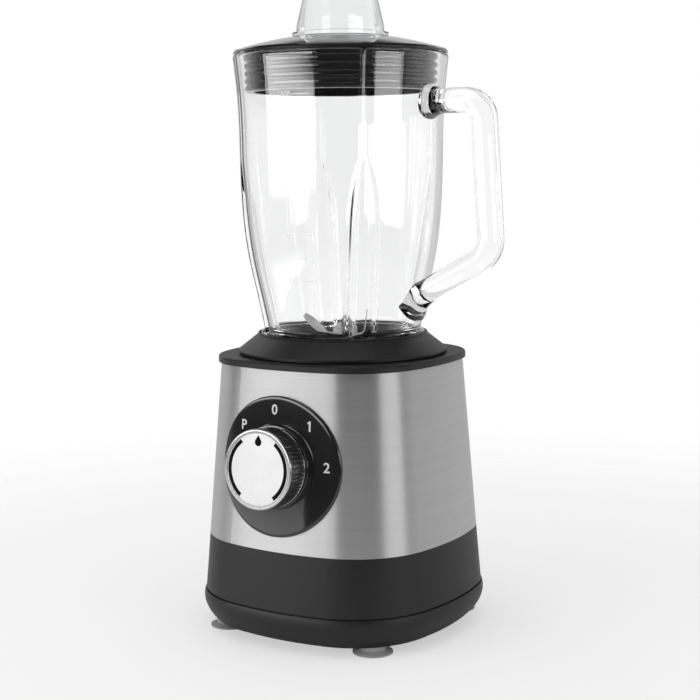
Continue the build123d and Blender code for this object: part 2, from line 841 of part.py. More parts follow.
def blade_arm(bend_at, bend, length, root, tip, twist):
    """Tapered arm of sheet steel: flat out to the bend, then raised, with a twist that grows to the tip."""
    flat = Pos(bend_at / 2, 0, 0) * Box(bend_at, root, blade_thick, align=STANDING)
    start = Plane((0, 0, blade_thick / 2), x_dir=(0, 1, 0), z_dir=(1, 0, 0))
    broad = start * Rectangle(root, blade_thick)
    narrow = start * Pos(0, 0, length) * Rot(0, 0, twist) * Rectangle(tip, blade_thick)
    wing = loft([broad, narrow], ruled=True)
    edge = blade_thick if bend < 0 else 0.0
    return flat + Pos(bend_at, 0, edge) * Rot(0, -bend, 0) * Pos(0, 0, -edge) * wing


def make_blade(first, second, low, angle):
    """Two-armed blade with a bored hub."""
    blade = disc(blade_hub_radius, 0, blade_thick)
    blade += blade_arm(**first)
    blade += Rot(0, 0, 180) * blade_arm(**second)
    blade -= disc(blade_shaft_radius + seat_gap, -blade_thick, 2 * blade_thick)
    return Pos(0, 0, low) * Rot(0, 0, angle) * blade


def make_blade_spacer():
    """Washer between the blades."""
    return ring(blade_spacer_radius, blade_shaft_radius + seat_gap, spacer_z, upper_blade_z)


def make_blade_nut():
    """Nut that holds the blades on the shaft."""
    top = nut_z + blade_nut_height
    return hexagon(blade_nut_width, nut_z, top) - disc(blade_shaft_radius + seat_gap, nut_z, top)


def make_shaft_clip():
    """Retaining ring under the housing's hub, open on one side."""
    clip = ring(clip_radius, blade_shaft_radius + seat_gap, clip_z, clip_z + clip_thick)
    return clip - Pos(clip_radius, 0, 0) * block(2 * clip_radius, clip_opening, clip_z, clip_z + clip_thick)


def lobed_star(low, high, grow):
    """Round core with lobes, grown for the socket that takes it."""
    star = disc(driven_radius + grow, low, high)
    reach = driven_lobe_reach + grow
    lobe = Pos(reach / 2, 0, 0) * block(reach, driven_lobe_width + 2 * grow, low, high)
    return star + around(lobe, coupling_lobes)


def make_driven_coupling():
    """Lobed coupling on the blade shaft."""
    return lobed_star(driven_z, clip_z, 0) - disc(blade_shaft_radius + seat_gap, driven_z, clip_z)


def make_drive_coupling():
    """Lobed socket on the motor shaft."""
    top = driven_z + drive_overlap
    socket = disc(drive_radius, drive_z, top) - lobed_star(socket_z, top, slip_gap)
    return socket - disc(motor_shaft_radius + seat_gap, drive_z, socket_z)


def make_motor_shaft():
    """Shaft from the fan to the drive coupling."""
    return disc(motor_shaft_radius, shaft_low_z, socket_z)


def make_armature_core():
    """Slotted steel stack on the motor shaft."""
    core = disc(armature_radius, stack_z, stack_top_z)
    slot_place = armature_radius - armature_slot_depth / 2
    slot = Pos(slot_place, 0, 0) * block(armature_slot_depth * 2, armature_slot_width, stack_z, stack_top_z)
    core -= around(Pos(armature_slot_depth / 2, 0, 0) * slot, armature_slots)
    return core - disc(motor_shaft_radius + seat_gap, stack_z, stack_top_z)


def make_armature_windings():
    """Wound ends above and below the armature stack."""
    inner = motor_shaft_radius + seat_gap
    upper = ring(armature_end_radius, inner, stack_top_z, stack_top_z + armature_end_height)
    lower = ring(armature_end_radius, inner, stack_z - armature_end_height, stack_z)
    return Compound([upper.solid(), lower.solid()])


def make_commutator():
    """Copper commutator under the armature, where the brushes run."""
    top = stack_z - armature_end_height - commutator_gap
    return ring(commutator_radius, motor_shaft_radius + seat_gap, top - commutator_length, top)


def make_cooling_fan():
    """Disc with radial blades at the foot of the shaft."""
    fan = disc(fan_radius, fan_z, fan_z + fan_disc_thick) + disc(fan_hub_radius, fan_z, fan_top_z)
    vane = Pos(fan_radius / 2, 0, 0) * block(fan_radius, fan_blade_thick, fan_z, fan_top_z)
    fan += around(vane & disc(fan_radius, fan_z, fan_top_z), fan_blades)
    return fan - disc(motor_shaft_radius + seat_gap, fan_z, fan_top_z)


def make_stator_core():
    """Square steel stack with a round bore and windows for the field coils."""
    outline = RectangleRounded(2 * stator_half, 2 * stator_half, stator_corner)
    core = extrude(Pos(0, 0, stack_z) * outline, stator_stack)
    core -= disc(stator_bore, stack_z, stack_top_z)
    window_x = coil_side_outer - coil_side_inner + 2 * slip_gap
    window_y = coil_back - coil_front + 2 * slip_gap
    window = block(window_x, window_y, stack_z, stack_top_z)
    core -= at_quarters(window, (coil_side_inner + coil_side_outer) / 2, (coil_front + coil_back) / 2)
    bolt_hole = disc(motor_bolt_radius + seat_gap, stack_z, stack_top_z)
    return core - at_quarters(bolt_hole, motor_bolt_place, motor_bolt_place)


def make_field_coils():
    """Two coils through the stator's windows, one for each pole."""
    depth = coil_back - coil_front
    loop = block(2 * coil_side_outer, depth, stack_z - coil_end, stack_top_z + coil_end)
    loop -= block(2 * coil_side_inner, depth, stack_z, stack_top_z)
    place = (coil_front + coil_back) / 2
    return Compound([(Pos(0, side * place, 0) * loop).solid() for side in (-1, 1)])


def bracket(low, hub_low, leg_low, leg_high):
    """Motor end bracket: square plate with windows, bearing hub and four legs."""
    plate_top = low + bracket_thick
    outline = RectangleRounded(2 * bracket_half, 2 * bracket_half, stator_corner)
    piece = extrude(Pos(0, 0, low) * outline, bracket_thick)
    window = ring(bracket_half - bracket_leg_radius, bracket_window, low, plate_top)
    window -= block(2 * bracket_half, 2 * bracket_hub_radius, low, plate_top)
    window -= block(2 * bracket_hub_radius, 2 * bracket_half, low, plate_top)
    piece -= window
    piece += disc(bracket_hub_radius, hub_low, hub_low + bracket_hub_height)
    piece += at_quarters(disc(bracket_leg_radius, leg_low, leg_high), motor_bolt_place, motor_bolt_place)
    low_z = min(low, leg_low)
    high_z = max(plate_top, leg_high)
    bolt_hole = disc(motor_bolt_radius + seat_gap, low_z, high_z)
    piece -= at_quarters(bolt_hole, motor_bolt_place, motor_bolt_place)
    return piece - disc(bracket_shaft_hole, hub_low, hub_low + bracket_hub_height)


upper_hub_z = upper_bracket_z
upper_bearing_z = upper_hub_z + bracket_hub_height - bearing_width
lower_hub_z = lower_bracket_z + bracket_thick - bracket_hub_height
lower_bearing_z = lower_hub_z


def make_upper_bracket():
    """Upper end bracket, with its bearing seat open at the top."""
    piece = bracket(upper_bracket_z, upper_hub_z, stack_top_z, upper_bracket_z)
    return piece - disc(bearing_radius + seat_gap, upper_bearing_z, upper_bearing_z + bearing_width)


def make_lower_bracket():
    """Lower end bracket, with its bearing seat open at the bottom."""
    piece = bracket(lower_bracket_z, lower_hub_z, lower_bracket_z + bracket_thick, stack_z)
    return piece - disc(bearing_radius + seat_gap, lower_bearing_z, lower_bearing_z + bearing_width)


def make_bearing(low):
    """Ball bearing, drawn as one ring."""
    return ring(bearing_radius, shaft_bore, low, low + bearing_width)


def brush_parts():
    """Holder, brush and spring on the +X side of the commutator."""
    start = commutator_radius + brush_gap
    holder_start = start + brush_gap
    wall = 2 * brush_holder_wall
    slot_y = brush_width + 2 * seat_gap
    slot_z = brush_height + 2 * seat_gap
    low = lower_bracket_z + bracket_thick
    back = brush_holder_wall
    box = Box(brush_holder_length, brush_width + wall, brush_height + wall,
              align=(Align.MIN, Align.CENTER, Align.MIN))
    slot = Box(brush_holder_length - back, slot_y, slot_z,
               align=(Align.MIN, Align.CENTER, Align.CENTER))
    holder = Pos(holder_start, 0, low) * box - Pos(holder_start, 0, brush_z) * slot
    brush = Pos(start, 0, brush_z) * Box(brush_length, brush_width, brush_height,
                                          align=(Align.MIN, Align.CENTER, Align.CENTER))
    spring_start = start + brush_length
    spring_length = holder_start + brush_holder_length - back - spring_start
    tube = Cylinder(brush_width / 2, spring_length) - Cylinder(brush_width / 2 - spring_wire, spring_length)
    spring = Pos(spring_start + spring_length / 2, 0, brush_z) * Rot(0, 90, 0) * tube
    return holder, brush, spring


def both_sides(piece):
    """A piece and its copy on the other side of the axis."""
    return Compound([piece.solid(), (Rot(0, 0, 180) * piece).solid()])


def make_motor_bolt():
    """Long bolt through the motor into a boss of the top cover."""
    head = disc(motor_bolt_head_radius, lower_bracket_z - motor_bolt_head_height, lower_bracket_z)
    return head + disc(motor_bolt_radius, lower_bracket_z, well_low_z - slip_gap)


def make_damper():
    """Rubber sleeve between the motor's upper bracket and the top cover."""
    return ring(damper_radius, motor_bolt_radius + seat_gap, boss_low_z - damper_height, boss_low_z)


def quarter_group(piece):
    """Four copies of a piece at the motor's bolts, kept as separate solids."""
    copies = at_quarters(piece, motor_bolt_place, motor_bolt_place)
    return Compound([copy.solid() for copy in copies])


def make_terminal_block():
    """Terminal block on the floor of the bottom cover, near the gland."""
    return Pos(0, block_place, 0) * block(block_length, block_width, pan_floor_z, block_top_z)


def lead(*points):
    """Insulated wire along straight runs with rounded corners."""
    path = FilletPolyline(*points, radius=lead_bend)
    return sweep(Plane(path @ 0, z_dir=path % 0) * Circle(lead_radius), path)


def lead_group(route):
    """A wire along its route and one mirrored to the other side, kept as separate solids."""
    return Compound([lead(*[(hand * x, y, z) for x, y, z in route]).solid() for hand in (-1, 1)])


lead_side = bracket_half + lead_clearance


def make_switch_leads():
    """Two wires from the terminal block round the motor to the switch."""
    run_z = brush_z + switch_lead_rise
    x_end = switch_lead_end
    back = -dial_hub_depth - switch_depth / 2
    end = (dial_plane * Pos(0, -switch_side / 2, back)).position
    below = (dial_plane * Pos(0, -switch_side / 2 - lead_clearance, back)).position
    x_start = switch_lead_start
    return lead_group([
        (x_start, block_place, block_top_z), (x_start, block_place, run_z),
        (lead_side, lead_side, run_z), (lead_side, -lead_side, run_z),
        (x_end, below.Y, run_z), (x_end, below.Y, below.Z), (x_end, end.Y, end.Z)])


def make_motor_leads():
    """Two wires from the terminal block to the brush holders."""
    holder_x = commutator_radius + 2 * brush_gap + brush_holder_length
    x_start = motor_lead_start
    return lead_group([
        (x_start, block_place, block_top_z), (x_start, block_place, brush_z),
        (lead_side, lead_side, brush_z), (lead_side, 0, brush_z), (holder_x, 0, brush_z)])


lid_low_z = rim_z + lid_gap
lid_edge_z = lid_low_z + lid_rim_thick
lid_top_z = lid_edge_z + lid_rise
lid_skirt_low_z = lid_low_z - lid_skirt_depth
gasket_room = jug_throat_radius - glass_wall - slip_gap
gasket_inner = gasket_room - gasket_ridge_depth - gasket_base
lid_skirt_radius = gasket_inner - seat_gap


def make_lid():
    """Shallow dome with a rim over the glass, a plug skirt and a hole for the cup."""
    edge = (lid_radius, lid_low_z)
    rim = (lid_radius, lid_edge_z - lid_edge_round)
    shoulder = (lid_radius - lid_edge_round, lid_edge_z)
    crown = (lid_top_radius, lid_top_z)
    inner_hole = (lid_hole_radius, lid_top_z)
    hole_low_z = lid_top_z - lid_hole_drop
    under_crown = (lid_hole_radius + lid_hole_wall, lid_top_z - lid_wall)
    skirt_in = lid_skirt_radius - lid_skirt_wall
    mid_radius = (lid_radius + lid_top_radius) / 2
    mid_z = (lid_edge_z + lid_top_z) / 2 + lid_bulge
    return turned_from(
        Line(edge, rim),
        RadiusArc(rim, shoulder, -lid_edge_round),
        ThreePointArc(shoulder, (mid_radius, mid_z), crown),
        Line(crown, inner_hole),
        Line(inner_hole, (lid_hole_radius, hole_low_z)),
        Line((lid_hole_radius, hole_low_z), (lid_hole_radius + lid_hole_wall, hole_low_z)),
        Line((lid_hole_radius + lid_hole_wall, hole_low_z), under_crown),
        ThreePointArc(under_crown, (mid_radius, mid_z - lid_wall), (skirt_in, lid_low_z)),
        Line((skirt_in, lid_low_z), (skirt_in, lid_skirt_low_z)),
        Line((skirt_in, lid_skirt_low_z), (lid_skirt_radius, lid_skirt_low_z)),
        Line((lid_skirt_radius, lid_skirt_low_z), (lid_skirt_radius, lid_low_z)),
        Line((lid_skirt_radius, lid_low_z), edge))


def make_lid_gasket():
    """Rubber sleeve on the lid's skirt with rounded ridges towards the glass."""
    base = gasket_inner + gasket_base
    pitch = lid_skirt_depth / gasket_ridges
    edges = [Line((gasket_inner, lid_skirt_low_z), (base, lid_skirt_low_z))]
    for k in range(gasket_ridges):
        low = lid_skirt_low_z + k * pitch
        top = low + pitch * gasket_ridge_share
        edges.append(ThreePointArc((base, low), (base + gasket_ridge_depth, (low + top) / 2), (base, top)))
        edges.append(Line((base, top), (base, low + pitch)))
    edges.append(Line((base, lid_low_z), (gasket_inner, lid_low_z)))
    edges.append(Line((gasket_inner, lid_low_z), (gasket_inner, lid_skirt_low_z)))
    return turned_from(*edges)


def make_measuring_cup():
    """Clear cup, closed at the top, with a flange that sits on the lid."""
    flange_low = lid_top_z + lid_gap
    flange_top = flange_low + cup_flange_thick
    low = flange_low - cup_skirt_length
    top = flange_top + cup_rise
    skirt = lid_hole_radius - slip_gap
    shoulder = (cup_shoulder_radius, flange_top + cup_shoulder_rise)
    inner = skirt - cup_wall
    inner_top = cup_top_radius - cup_wall
    return turned_from(
        Line((inner, low), (skirt, low)),
        Line((skirt, low), (skirt, flange_low)),
        Line((skirt, flange_low), (cup_flange_radius, flange_low)),
        Line((cup_flange_radius, flange_low), (cup_flange_radius, flange_top)),
        Line((cup_flange_radius, flange_top), (cup_shoulder_radius, flange_top)),
        Line((cup_shoulder_radius, flange_top), shoulder),
        Line(shoulder, (cup_top_radius, top - cup_edge)),
        RadiusArc((cup_top_radius, top - cup_edge), (cup_top_radius - cup_edge, top), -cup_edge),
        Line((cup_top_radius - cup_edge, top), (0, top)),
        Line((0, top), (0, top - cup_wall)),
        Line((0, top - cup_wall), (inner_top, top - cup_wall)),
        Line((inner_top, top - cup_wall), (inner, flange_top)),
        Line((inner, flange_top), (inner, low)))


foot_names = ["foot_rear_right", "foot_rear_left", "foot_front_left", "foot_front_right"]
foot_copies = at_quarters(make_foot(), foot_place, foot_place)
brush_holder, carbon_brush, brush_spring = brush_parts()

pieces = {
    "bottom_cover": make_bottom_cover(),
    "lower_skirt": make_lower_skirt(),
    "steel_shell": make_steel_shell(),
    "top_cover": make_top_cover(),
    "tie_screws": Compound([copy.solid() for copy in at_quarters(make_tie_screw(), tie_x, tie_y)]),
    "cord_gland": make_cord_gland(),
    "terminal_block": make_terminal_block(),
    "switch_leads": make_switch_leads(),
    "motor_leads": make_motor_leads(),
    "dial_plate": make_dial_plate(),
    "rotary_switch": make_rotary_switch(),
    "switch_nut": make_switch_nut(),
    "knob_body": make_knob_body(),
    "knob_face": make_knob_face(),
    "switch_shaft": make_switch_shaft(),
    "stator_core": make_stator_core(),
    "field_coils": make_field_coils(),
    "upper_bracket": make_upper_bracket(),
    "lower_bracket": make_lower_bracket(),
    "upper_bearing": make_bearing(upper_bearing_z),
    "lower_bearing": make_bearing(lower_bearing_z),
    "brush_holders": both_sides(brush_holder),
    "carbon_brushes": both_sides(carbon_brush),
    "brush_springs": both_sides(brush_spring),
    "motor_bolts": quarter_group(make_motor_bolt()),
    "motor_dampers": quarter_group(make_damper()),
    "motor_shaft": make_motor_shaft(),
    "armature_core": make_armature_core(),
    "armature_windings": make_armature_windings(),
    "commutator": make_commutator(),
    "cooling_fan": make_cooling_fan(),
    "drive_coupling": make_drive_coupling(),
    "glass_jug": make_glass_jug(),
    "jug_collar": make_jug_collar(),
    "jug_seal": make_jug_seal(),
    "blade_housing": make_blade_housing(),
    "upper_bush": make_bush(hub_top_z - shaft_seal_height - bush_length),
    "lower_bush": make_bush(hub_low_z),
    "shaft_seal": make_shaft_seal(),
    "blade_shaft": make_blade_shaft(),
    "lower_blade": make_blade(low_arm, rise_arm, lower_blade_z, blade_angle + 90),
    "blade_spacer": make_blade_spacer(),
    "upper_blade": make_blade(steep_arm, shallow_arm, upper_blade_z, blade_angle),
    "blade_nut": make_blade_nut(),
    "shaft_clip": make_shaft_clip(),
    "driven_coupling": make_driven_coupling(),
    "lid": make_lid(),
    "lid_gasket": make_lid_gasket(),
    "measuring_cup": make_measuring_cup(),
}
pieces.update(zip(foot_names, foot_copies))

boxes = [piece.bounding_box() for piece in pieces.values()]
middle_x = (min(box.min.X for box in boxes) + max(box.max.X for box in boxes)) / 2
middle_y = (min(box.min.Y for box in boxes) + max(box.max.Y for box in boxes)) / 2

os.makedirs("parts", exist_ok=True)
for name, piece in pieces.items():
    export_step(Pos(-middle_x, -middle_y, 0) * piece, f"parts/{name}.step")

print("motor axis", round(-middle_x, 3), round(-middle_y, 3))
print("dial centre", round(-middle_x, 3), round(dial_y - middle_y, 3), round(dial_z, 3))
print("face lean in degrees", round(degrees(face_lean), 3))
print("jug inside from", round(nut_z + blade_nut_height, 1), "to", round(lid_skirt_low_z, 1))
print("rim of the glass at", round(rim_z, 1))
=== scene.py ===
import json
import math

import bmesh
import bpy
import numpy as np
from bpy.props import FloatProperty, FloatVectorProperty, IntProperty, PointerProperty
from mathutils import Matrix, Vector
from mathutils.bvhtree import BVHTree


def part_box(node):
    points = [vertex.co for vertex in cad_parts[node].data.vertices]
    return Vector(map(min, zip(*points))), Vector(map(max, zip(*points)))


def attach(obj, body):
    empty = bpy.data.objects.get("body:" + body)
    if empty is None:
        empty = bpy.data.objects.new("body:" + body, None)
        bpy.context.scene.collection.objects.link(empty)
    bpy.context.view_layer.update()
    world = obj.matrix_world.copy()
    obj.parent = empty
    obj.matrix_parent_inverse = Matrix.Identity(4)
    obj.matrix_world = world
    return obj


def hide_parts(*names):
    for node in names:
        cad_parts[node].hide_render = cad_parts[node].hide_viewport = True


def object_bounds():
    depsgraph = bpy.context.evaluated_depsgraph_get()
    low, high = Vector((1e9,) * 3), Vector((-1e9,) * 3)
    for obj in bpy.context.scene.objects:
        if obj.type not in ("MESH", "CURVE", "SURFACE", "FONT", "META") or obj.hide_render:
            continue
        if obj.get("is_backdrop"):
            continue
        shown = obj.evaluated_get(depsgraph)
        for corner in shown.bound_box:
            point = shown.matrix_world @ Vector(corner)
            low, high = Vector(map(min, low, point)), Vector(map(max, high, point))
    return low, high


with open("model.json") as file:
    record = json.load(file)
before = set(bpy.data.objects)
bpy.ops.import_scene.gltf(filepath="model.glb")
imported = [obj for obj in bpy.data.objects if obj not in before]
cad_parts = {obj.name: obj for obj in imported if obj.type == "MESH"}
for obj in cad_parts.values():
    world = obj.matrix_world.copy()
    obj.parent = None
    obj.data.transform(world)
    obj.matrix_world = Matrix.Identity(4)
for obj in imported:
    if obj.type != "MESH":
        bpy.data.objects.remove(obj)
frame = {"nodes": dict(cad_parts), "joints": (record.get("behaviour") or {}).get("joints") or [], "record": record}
cad_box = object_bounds()

bl_info = {
    "name": "Countertop Blender",
    "version": (1, 0, 0),
    "blender": (4, 5, 0),
    "location": "View3D > Sidebar > Countertop Blender",
    "description": "Finishes, glass, markings and a plain studio for a countertop blender",
    "category": "Object",
}

# One millimetre, in metres
MM = 0.001

# Places that the frame gives, in metres
JOINTS = {joint["name"]: joint for joint in frame["joints"]}
AXIS = Vector(JOINTS["motor_spin"]["pos_m"])
DIAL_CENTRE = Vector(JOINTS["knob_turn"]["pos_m"])
DIAL_OUT = -Vector(JOINTS["knob_turn"]["axis"])
DIAL_RIGHT = Vector((1, 0, 0))
DIAL_UP = DIAL_OUT.cross(DIAL_RIGHT)
COLLAR_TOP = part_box("jug_collar")[1].z
NECK_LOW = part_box("glass_jug")[0].z
RIM_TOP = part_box("glass_jug")[1].z

# Side turns about the jug's axis, from the handle
FLUTE_ANGLE = math.radians(45)
SPOUT_ANGLE = math.radians(180)
SCALE_ANGLE = math.radians(-84)

# Reaches of mesh work, in metres
MERGE_REACH = 0.0001 * MM
COLLAPSE_REACH = 0.00001 * MM
RAY_START = 50 * MM
RAY_REACH = 60 * MM
CUT_REACH = 10 * MM

# How finely the curves are divided
WALL_ROWS = 76
BEAD_ROWS = 9
RIM_ROWS = 11
FLUTE_COLUMNS = 72
PLAIN_COLUMNS = 20
HANDLE_STEP = 2.2 * MM
HANDLE_COLUMNS = 36
BEND_STEPS = 10
ROUND_STEPS = 5
KNOB_COLUMNS = 192
HUB_COLUMNS = 64
DIAL_EDGE_ROWS = 7
DIAL_ROWS = 12
SEAT_ROWS = 5
DIAL_COLUMNS = 160
DIAL_TURNS = [(math.cos(a), math.sin(a)) for a in np.linspace(0, 2 * np.pi, DIAL_COLUMNS, endpoint=False)]
ARM_ROWS = 40
DROP_POINTS = 24
ARC_POINTS = 49
LETTER_BENDS = 6
FLOOR_SIDES = 96

# Shapes without a length of their own: shares and powers
FLUTE_SPREAD = 1.15
FLUTE_FALL = 2.0
HANDLE_SQUARENESS = 0.85
TIP_CUT = 0.5
TIP_POWER = 8
GRIND_SHARE = 0.6
CAP_SHARE = 0.73

# Angles in degrees over which an edge shows sharp
EDGE_SHARP = 35.0
GLASS_SHARP = 40.0
PRINT_SHARP = 30.0
BLADE_SHARP = 25.0

# Angle in radians under which a corner of an outline counts as straight
STRAIGHT = 0.01

# Marks on the dial, with their turns from the top in degrees, and on the knob's face
DIAL_WORDS = {"P": -47.0, "0": -3.0, "1": 41.0, "2": 86.0}
ARC_HALF = math.radians(54)
DROP_BOW = (math.radians(155), math.radians(385))
DROP_POINT = 0.12

# Outline of a one with a flag, in shares of its height
FLAGGED_ONE = [(-0.06, -0.5), (0.12, -0.5), (0.12, 0.5), (-0.02, 0.5), (-0.23, 0.35), (-0.23, 0.19),
               (-0.06, 0.29)]

# Blades: side turn in degrees, and the two arms in millimetres and degrees
BLADES = {
    "upper_blade": (32.4, (
        dict(bend_at=16.0, bend=74.0, length=17.0, root=11.0, tip=4.0, twist=0.0),
        dict(bend_at=9.0, bend=42.0, length=21.0, root=12.0, tip=4.5, twist=-38.0))),
    "lower_blade": (122.4, (
        dict(bend_at=12.0, bend=-6.0, length=19.0, root=13.0, tip=4.0, twist=8.0),
        dict(bend_at=12.0, bend=12.0, length=18.0, root=13.0, tip=4.0, twist=-8.0))),
}

# Light that has turned more often than this inside the glass leaves it
TRAPPED_TURNS = 6.5

# Passes and mirrorings after which a ray is taken as one from the far wall of the jug
FAR_PASSES = (2.0, 3.0)
FAR_MIRRORINGS = (1.0, 2.0)

# The wall behind, as mirrors show it: cosines from its middle where it starts and is full, and rises
# where it ends and is full
WALL_SIDES = (-0.33, 0.41)
WALL_TOP = (0.46, 0.34)

# Lamps: name, side turn from the front in degrees, distance, height, width, tall, watts, and the
# shares of their height between which they fade in
LAMPS = [
    ("key_left", -26.0, 1.35, 0.25, 1.53, 0.40, 10.6, 0.2, 0.45),
    ("low_left", -40.0, 0.55, 0.05, 0.52, 0.10, 0.24, 1.0, 0.2),
    ("fill_right", 85.0, 1.30, 0.25, 0.74, 0.40, 3.7, 0.0, 0.5),
    ("rim_left", 250.0, 1.10, 0.85, 0.60, 0.50, 1.4, 0.0, 0.5),
    ("rim_right", 174.0, 1.10, 0.85, 0.50, 0.50, 0.9, 0.0, 0.5),
    ("top", 10.0, 0.35, 1.50, 1.00, 1.00, 6.0, 0.0, 0.5),
]
AIM_HEIGHT = 0.2


def size(name, description, millimetres):
    """A length that a user may set, given in millimetres."""
    return FloatProperty(
        name=name, description=description, default=millimetres * MM, unit="LENGTH", precision=5)


def colour(name, description, *rgb):
    """A colour that a user may set; one number makes a grey."""
    rgb = rgb * 3 if len(rgb) == 1 else rgb
    return FloatVectorProperty(
        name=name, description=description, default=rgb, subtype="COLOR", min=0.0, max=1.0)


def share(name, description, default):
    """A number between nothing and one that a user may set."""
    return FloatProperty(
        name=name, description=description, default=default, min=0.0, max=1.0, subtype="FACTOR")


def angle(name, description, degrees):
    """An angle that a user may set, given in degrees."""
    return FloatProperty(name=name, description=description, default=math.radians(degrees), subtype="ANGLE")


def light_level(name, description, default):
    """A strength of light that a user may set."""
    return FloatProperty(name=name, description=description, default=default, subtype="FACTOR")


def whole_number(name, description, default, least):
    """A whole number that a user may set."""
    return IntProperty(name=name, description=description, default=default, min=least)


class GlassSizes(bpy.types.PropertyGroup):
    """Sizes of the glass jug, radii about its axis and heights above the collar."""
    wall: size("Wall", "Thickness of the glass", 4.2)
    neck_radius: size("Neck radius", "Outside of the neck in the collar", 49.5)
    throat_radius: size("Throat radius", "Inside of the neck", 39.5)
    bead_radius: size("Bead radius", "Bead that sits in the collar's mouth", 52.8)
    bead_height: size("Bead height", "Height of the bead", 3.4)
    foot_radius: size("Foot radius", "Outside just above the collar", 50.4)
    bowl_radius: size("Bowl radius", "Outside at the lower bowl", 54.9)
    shoulder_radius: size("Shoulder radius", "Outside at the upper bowl", 60.0)
    belly_radius: size("Belly radius", "Outside where the flutes end", 64.4)
    lip_radius: size("Lip radius", "Outside under the rim", 65.7)
    rim_radius: size("Rim radius", "Outside of the rim", 68.0)
    foot_rise: size("Foot rise", "Height of the foot above the collar", 2.7)
    bowl_rise: size("Bowl rise", "Height of the lower bowl", 24.7)
    shoulder_rise: size("Shoulder rise", "Height of the upper bowl", 49.0)
    belly_rise: size("Belly rise", "Height of the belly", 108.7)
    lip_rise: size("Lip rise", "Height of the lip", 150.0)
    rim_round: size("Rim round", "Rounding of the rim", 1.9)
    flute_radius: size("Flute radius", "Radius of the flutes below their arched ends", 6.6)
    flute_tip: size("Flute tip", "Radius of the flutes where they end", 0.1)
    flute_sink: size("Flute sink", "How far the flutes' middle lies outside the wall", 1.0)
    flute_soft: size("Flute edge", "Rounding of the flutes' edges", 2.6)
    tip_soft: share("Tip edge", "Share of that rounding that is left where the flutes end", 0.3)
    spout_reach: size("Spout reach", "How far the spout leans out of the rim", 5.5)
    spout_width: size("Spout width", "Half width of the spout", 15.0)
    spout_length: size("Spout length", "Height of the spout", 32.0)


class HandleSizes(bpy.types.PropertyGroup):
    """Sizes of the glass handle, places from the jug's axis and heights above the collar."""
    thick: size("Thickness", "Thickness of the bar in the handle's plane", 15.2)
    width: size("Width", "Width of the bar across the handle's plane", 18.0)
    top_rise: size("Top rise", "Height of the upper bar", 144.2)
    reach_top: size("Upper reach", "Distance of the upper corner from the axis", 100.6)
    reach_low: size("Lower reach", "Distance of the lower corner from the axis", 106.6)
    low_rise: size("Lower rise", "Height of the lower corner", 52.0)
    root_rise: size("Root rise", "Height of the lower root", 21.0)
    top_bend: size("Upper bend", "Radius of the upper corner", 12.0)
    low_bend: size("Lower bend", "Radius of the lower corner", 15.0)
    flare_length: size("Flare length", "Length of the flare at each root", 10.0)
    flare: share("Flare", "How much the bar widens at its roots", 0.4)


class KnobSizes(bpy.types.PropertyGroup):
    """Sizes of the speed knob."""
    radius: size("Radius", "Outside of the knob over its ribs", 24.4)
    rib_depth: size("Rib depth", "Depth of the grooves between the ribs", 0.8)
    rib_low: size("Rib start", "Plain band under the ribs", 0.9)
    bezel: size("Bezel height", "Plain band above the ribs", 1.0)
    bezel_width: size("Bezel width", "Width of the bright ring round the face", 2.7)
    bezel_round: size("Bezel round", "Rounding of the bright ring", 0.8)
    edge_round: size("Edge round", "Rounding of the foot's and the face well's edges", 0.4)
    band_round: size("Band round", "Rounding of the plain bands where the ribs start", 0.3)
    wall: size("Wall", "Thickness of the knob's side", 2.4)
    head: size("Head", "Thickness of the knob's head", 5.0)
    rib_count: whole_number("Ribs", "Number of ribs round the knob", 60, 8)
    rib_sides: whole_number("Rib sides", "Number of sides of a rib's round", 10, 3)


class DialSizes(bpy.types.PropertyGroup):
    """Sizes of the dial disc, heights over the steel."""
    radius: size("Radius", "Outside of the disc", 43.2)
    lift: size("Lift", "Thickness of the disc over the steel", 2.2)
    bevel: size("Edge round", "Rounding of the disc's edge", 1.0)
    seat_radius: size("Seat radius", "Outside of the knob's seat", 25.7)
    seat_height: size("Seat height", "Height of the knob's seat over the dial's middle", 5.6)
    seat_round: size("Seat round", "Rounding of the seat's edge", 0.5)
    bore: size("Bore", "Radius of the hole for the switch", 10.0)


class BladeSizes(bpy.types.PropertyGroup):
    """Sizes of the blades."""
    thick: size("Thickness", "Thickness of the sheet steel", 1.6)
    hub_radius: size("Hub radius", "Outside of the hub", 9.0)
    hub_round: size("Hub round", "Rounding of the hub's edges", 0.2)
    bore: size("Bore", "Radius of the hole for the shaft", 4.05)
    grind: size("Ground width", "Width of the ground edge", 3.4)
    edge: size("Edge", "Thickness left at the cutting edge", 0.25)
    bend_soft: size("Bend", "Half length of the bend", 3.0)


